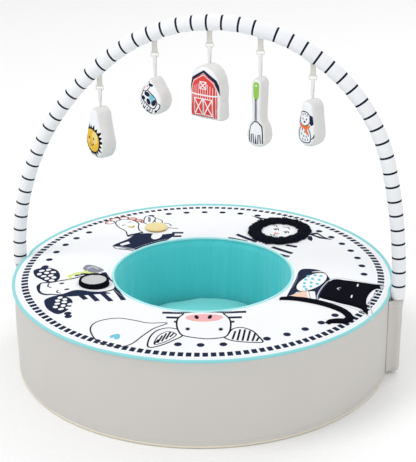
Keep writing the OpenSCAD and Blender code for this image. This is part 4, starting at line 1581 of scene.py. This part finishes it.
def sun_print():
    shapes = []
    cx, cy = -3, -76
    spikes = []
    for k in range(40):
        a = TAU * k / 40
        r = (39 if k % 4 == 0 else 35) if k % 2 == 0 else 28
        spikes.append((cx + r * math.cos(a), cy + 1.05 * r * math.sin(a)))
    shapes.append((spikes, "black"))
    shapes.append((closed([(cx + r * math.cos(math.radians(d)), cy + r * math.sin(math.radians(d)))
                           for d, r in ((0, 25), (45, 27), (90, 26), (135, 27), (180, 25), (225, 27),
                                        (270, 26), (315, 27))]), "sun"))
    shapes.append((ellipse(cx + 12, cy + 8, 10, 14, steps=20), "yellow"))
    for x in (-10, 8):
        shapes.append((ellipse(cx + x, cy + 5, 2.4, 3.2, steps=14), "black"))
        shapes.append((ellipse(cx + 1.4 * x, cy - 4, 3.6, 3, steps=14), "peach"))
    shapes += inked("black", [(cx - 9, cy - 6), (cx - 1, cy - 12), (cx + 8, cy - 6)], 2)
    return shapes


def calf_print():
    shapes = []
    body = [(-22, -36), (-8, -34), (10, -35), (20, -42), (20, -56), (10, -61), (-10, -60), (-20, -56)]
    for x in (-14, -3, 8, 16):
        shapes.append((bar(x, -54, x - 1, -74, 4.4), "cloth"))
        shapes += inked("black", [(x - 2.4, -56), (x - 3, -73), (x + 2, -73), (x + 2.6, -56)], 1.5)
        shapes.append((box_shape(x - 3, -76, x + 2.4, -71), "navy"))
    shapes.append((closed(body), "cloth"))
    shapes += inked("black", body, 2.4, closed=True)
    for x, y, rx, ry, turn in ((-10, -42, 8, 5, 20), (1, -53, 7, 5.4, -30), (13, -46, 6, 8, 0),
                               (-14, -55, 5, 4, 0)):
        shapes.append((ellipse(x, y, rx, ry, turn, 16), "navy"))
    shapes.append((closed([(-2, -36), (8, -36), (10, -44), (3, -47), (-3, -43)]), "sky"))
    head = [(-30, -22), (-20, -18), (-13, -22), (-14, -34), (-20, -42), (-29, -40), (-33, -31)]
    shapes.append((closed(head), "cloth"))
    shapes += inked("black", head, 1.8, closed=True)
    shapes.append((ellipse(-13, -20, 6, 3, 25, 14), "navy"))
    shapes.append((ellipse(-32, -20, 6, 3, 150, 14), "navy"))
    shapes.append((ellipse(-26, -36, 5.4, 3.6, 10, 14), "pink"))
    shapes += [(ellipse(x, -28, 1.5, 2, steps=10), "black") for x in (-27, -19)]
    shapes += inked("black", [(20, -42), (27, -40), (29, -50), (26, -58)], 1.8)
    shapes.append((ellipse(26, -60, 2.6, 4, steps=12), "navy"))
    a = math.radians(-32)
    return [([(1.05 * (x * math.cos(a) - (y + 48) * math.sin(a)),
               1.05 * (x * math.sin(a) + (y + 48) * math.cos(a)) - 48)
              for x, y in outline], ink) for outline, ink in shapes]


def barn_print():
    shapes = []
    wall = [(-33, -114), (33, -114), (33, -54), (26, -32), (0, -18), (-26, -32), (-33, -54)]
    shapes.append((wall, "red"))
    for k in range(-5, 6):
        high = -54 + 22 * (1 - abs(k) / 7)
        shapes.append((bar(6 * k, -113, 6 * k, high - 2, 1.1), "cloth"))
    roof = [(-40, -62), (-29, -32), (0, -14), (29, -32), (40, -62)]
    shapes += inked("navy", roof, 6, ends=1.0, steps=1)
    shapes += inked("cloth", [(-34, -56), (-25, -36), (0, -21), (25, -36), (34, -56)], 1.6, steps=1)
    for x0, y0, x1, y1 in ((-9, -52, 9, -35), (-24, -110, 0, -72), (0, -110, 24, -72)):
        shapes.append((box_shape(x0, y0, x1, y1), "cloth"))
        shapes.append((box_shape(x0 + 2, y0 + 2, x1 - 2, y1 - 2), "red"))
        shapes.append((bar(x0 + 2, y0 + 2, x1 - 2, y1 - 2, 2.4), "cloth"))
        shapes.append((bar(x0 + 2, y1 - 2, x1 - 2, y0 + 2, 2.4), "cloth"))
    shapes.append((box_shape(-33, -66, 33, -63), "cloth"))
    return shapes


def fork_print():
    shapes = [(closed([(-6, -12), (0, -9), (6, -12), (7, -24), (6, -40), (4, -46), (-4, -46), (-6, -40),
                       (-7, -24)]),
               "green")]
    shapes.append((ellipse(0, -17, 2, 2, steps=14), "cloth"))
    shapes.append((bar(0, -46, 0, -102, 5.4), "navy"))
    shapes.append((bar(0.6, -48, 0.6, -100, 1.4), "cloth"))
    head = [(-4, -96), (4, -96), (13, -106), (15.5, -120), (15.5, -143), (11, -143), (10, -124), (6, -124),
            (5, -145), (1, -145), (0, -124), (-1, -145), (-5, -145), (-6, -124), (-10, -124), (-11, -143),
            (-15.5, -143), (-15.5, -120), (-13, -106)]
    shapes.append((head, "cloth"))
    shapes += inked("navy", head, 2.4, closed=True, steps=1)
    return shapes


def pup_print():
    shapes = []
    body = [(-14, -90), (-16, -74), (-10, -60), (0, -56), (10, -60), (16, -74), (14, -90), (0, -94)]
    head = [(-14, -36), (-8, -27), (6, -27), (14, -36), (13, -48), (4, -56), (-6, -56), (-14, -48)]
    for outline in (body, head):
        shapes.append((closed(outline), "cloth"))
        shapes += inked("navy", outline, 2.2, closed=True)
    for x in (-1, 1):
        ear = [(13 * x, -32), (20 * x, -36), (22 * x, -48), (17 * x, -54), (13 * x, -46)]
        shapes.append((closed(ear), "navy"))
    for x, y in ((-7, -66), (0, -70), (7, -66), (-9, -76), (-3, -80), (4, -80), (10, -76), (-6, -87),
                 (1, -88), (8, -86), (-6, -33), (0, -31), (6, -33)):
        shapes.append((bar(x, y + 2.4, x + 0.8, y - 2.4, 2.2), "navy"))
    shapes.append((closed([(-13, -53), (0, -58), (13, -53), (14, -59), (1, -65), (-13, -59)]), "orange"))
    shapes.append((closed([(3, -60), (12, -72), (5, -74), (0, -62)]), "orange"))
    shapes += [(ellipse(x, -42, 1.6, 2.1, steps=10), "black") for x in (-5, 5)]
    shapes.append((ellipse(0, -48, 3, 2.2, steps=12), "black"))
    shapes += inked("navy", [(15, -84), (22, -80), (25, -70)], 2.4)
    return shapes


PRINTS = {"sun": sun_print, "calf": calf_print, "barn": barn_print, "fork": fork_print, "pup": pup_print}


def make_panel(name, loop, shapes, sign, target, material, place):
    """Face panel of a toy, a little proud of its body, with its print. sign: 1 front, -1 back."""
    tree = BVHTree.FromPolygons([v.co for v in target.data.vertices],
                                [tuple(f.vertices) for f in target.data.polygons])
    lo = Vector((min(p.x for p in loop), min(p.y for p in loop)))
    hi = Vector((max(p.x for p in loop), max(p.y for p in loop)))
    step = 3.4 * MM
    filler = []
    rows, cols = int((hi.y - lo.y) / step), int((hi.x - lo.x) / step)
    for i in range(rows + 1):
        for j in range(cols + 1):
            p = Vector((lo.x + step * (j + 0.5 * (i % 2)), lo.y + step * i))
            if inside(p, loop) and edge_distance(p, loop) > 0.5 * step:
                filler.append(p)
    areas = [([tuple(p) for p in loop], "cloth")]
    areas += [([(x * MM, y * MM) for x, y in outline], ink) for outline, ink in shapes]
    points, faces, inks = triangulate(areas, filler)
    kept = [(f, ink) for f, ink in zip(faces, inks)
            if ink and inside(sum((points[k] for k in f), Vector((0, 0))) / 3, loop)]
    used = sorted({k for f, _ in kept for k in f})
    index = {k: n for n, k in enumerate(used)}
    top, under = [], []
    for k in used:
        p = points[k]
        near = min(edge_distance(p, loop) / (4 * MM), 1.0)
        hit = tree.ray_cast(Vector((p.x, p.y, sign)), Vector((0, 0, -sign)))[0]
        z = hit.z if hit else 0.0
        lift = 0.5 * MM + 0.7 * MM * math.sqrt(1 - (1 - near) ** 2)
        top.append(Vector((p.x, p.y, z + sign * lift)))
        under.append(Vector((p.x, p.y, z - sign * 0.6 * MM)))
    n = len(used)
    faces, colours, sides = [], [], {}
    for f, ink in kept:
        f = [index[k] for k in f]
        a, b, c = (top[k] for k in f)
        if (b - a).cross(c - a).z * sign < 0:
            f.reverse()
        faces.append(f)
        colours.append(ink)
        for k in range(3):
            sides[(f[k], f[(k + 1) % 3])] = True
    for f in list(faces):
        faces.append([n + k for k in reversed(f)])
        colours.append("cloth")
    for a, b in sides:
        if (b, a) not in sides:
            faces.append((b, a, n + a, n + b))
            colours.append("cloth")
    piece = add_mesh(name, top + under, faces, material)
    give_ink(piece, colours)
    piece.data.transform(place)
    return piece


def make_toy(toy):
    x, turn = TOYS[toy]
    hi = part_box(toy + "_cover")[1]
    outline = [Vector(p) * MM for p in OUTLINES[toy]]
    top = hi.z
    a = math.radians(turn)
    depth = DEPTHS[toy] * MM
    place = (Matrix.Translation((x * MM, 0, top)) @ Matrix.Rotation(a, 4,
                                                                    "Z") @ Matrix.Rotation(math.pi / 2, 4,
                                                                                           "X"))
    loop = even_loop(outline, 4 * MM)
    rows = [(7.5 * MM, -depth / 2 + 0.8 * MM), (3.4 * MM, -depth / 2 + 2.2 * MM),
            (1.4 * MM, -depth / 2 + 7 * MM), (0.6 * MM, 0.0), (1.4 * MM, depth / 2 - 7 * MM),
            (3.4 * MM, depth / 2 - 2.2 * MM), (7.5 * MM, depth / 2 - 0.8 * MM)]
    verts, faces = [], []
    n = len(loop)
    for amount, z in rows:
        verts += [Vector((p.x, p.y, z)) for p in inset_loop(loop, amount)]
    for i in range(len(rows) - 1):
        for j in range(n):
            k = (j + 1) % n
            faces.append((i * n + j, i * n + k, (i + 1) * n + k, (i + 1) * n + j))
    faces.append(tuple(range(n))[::-1])
    faces.append(tuple((len(rows) - 1) * n + k for k in range(n)))
    body = inflate(add_mesh(toy + "_body", verts, faces, M["toy"]), 4 * MM, 9.0, 5 * MM)
    for v in body.data.vertices:
        v.co += v.normal * 0.7 * MM * rough(v.co.x, v.co.y, v.co.z, size=0.022)
    face_loop = even_loop(inset_loop(loop, 5.5 * MM), 3 * MM)
    front = make_panel(toy + "_face", face_loop, PRINTS[toy](), 1, body, M["toy_print"], place)
    back = make_panel(toy + "_back", face_loop, [], -1, body, M["toy_print"], place)
    body.data.transform(place)
    finish_piece(body, toy + "_toy", "toy_cotton", toy + "_cover", toy + "_filling")
    finish_piece(front, toy + "_toy", "toy_cotton")
    finish_piece(back, toy + "_toy", "toy_cotton")
    make_strap(toy, x * MM)
    make_link(toy)
    make_ribbon(toy, x * MM, turn)


for toy_name in TOYS:
    make_toy(toy_name)

# ------------------------------------------------------------------ materials of the CAD nodes that stay

for node_name, material in (("foam_ring", "foam"), ("arch_padding", "foam"), ("zip_tape", "tape"),
                            ("zip_slider", "metal"), ("zip_pull", "metal"), ("mirror_disc", "film"),
                            ("arch_rod_left", "rod"), ("arch_rod_right", "rod"), ("arch_ferrule", "metal"),
                            ("foot_left", "rubber"), ("foot_right", "rubber")):
    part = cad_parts[node_name]
    if not part.material_slots:
        part.data.materials.append(M[material])
    for material_slot in part.material_slots:
        material_slot.material = M[material]

# ------------------------------------------------------------------ camera, floor and light

scene = bpy.context.scene


def aim(thing, target, roll=0.0):
    run = Vector(target) - thing.location
    turn = run.to_track_quat("-Z", "Y").to_matrix() @ Matrix.Rotation(roll, 3, "Z")
    thing.rotation_euler = turn.to_euler()


lens = bpy.data.cameras.new("camera")
lens.lens = 99.1
lens.sensor_width = 36
lens.clip_start = 0.1
lens.clip_end = 40
camera = bpy.data.objects.new("camera", lens)
camera.location = (0.6504, -2.5566, 1.3836)
aim(camera, (0.0122, 0.0031, 0.3023), roll=-0.009)
scene.collection.objects.link(camera)
scene.camera = camera

floor_plane = add_mesh("studio_floor", [(-12, -12, -0.0004), (12, -12, -0.0004), (12, 12, -0.0004),
                                        (-12, 12, -0.0004)],
                       [(0, 1, 2, 3)], M["floor_plane"], smooth=False)


def area_light(name, place, target, size, power):
    data = bpy.data.lights.new(name, "AREA")
    data.shape = "SQUARE"
    data.size = size
    data.energy = power
    light = bpy.data.objects.new(name, data)
    light.location = place
    aim(light, target)
    scene.collection.objects.link(light)


area_light("key", (-2.6, -1.8, 5.2), (0, 0, 0.2), 2.4, 105)
area_light("fill", (3.0, -3.2, 1.6), (0, 0, 0.2), 2.6, 14)
area_light("back", (1.2, 3.4, 4.0), (0, 0, 0.3), 2.4, 42)

world = bpy.data.worlds.new("studio")
world.use_nodes = True
world.node_tree.nodes["Background"].inputs["Color"].default_value = (1.0, 1.0, 1.0, 1.0)
world.node_tree.nodes["Background"].inputs["Strength"].default_value = 0.80
scene.world = world
scene.view_settings.view_transform = "Standard"
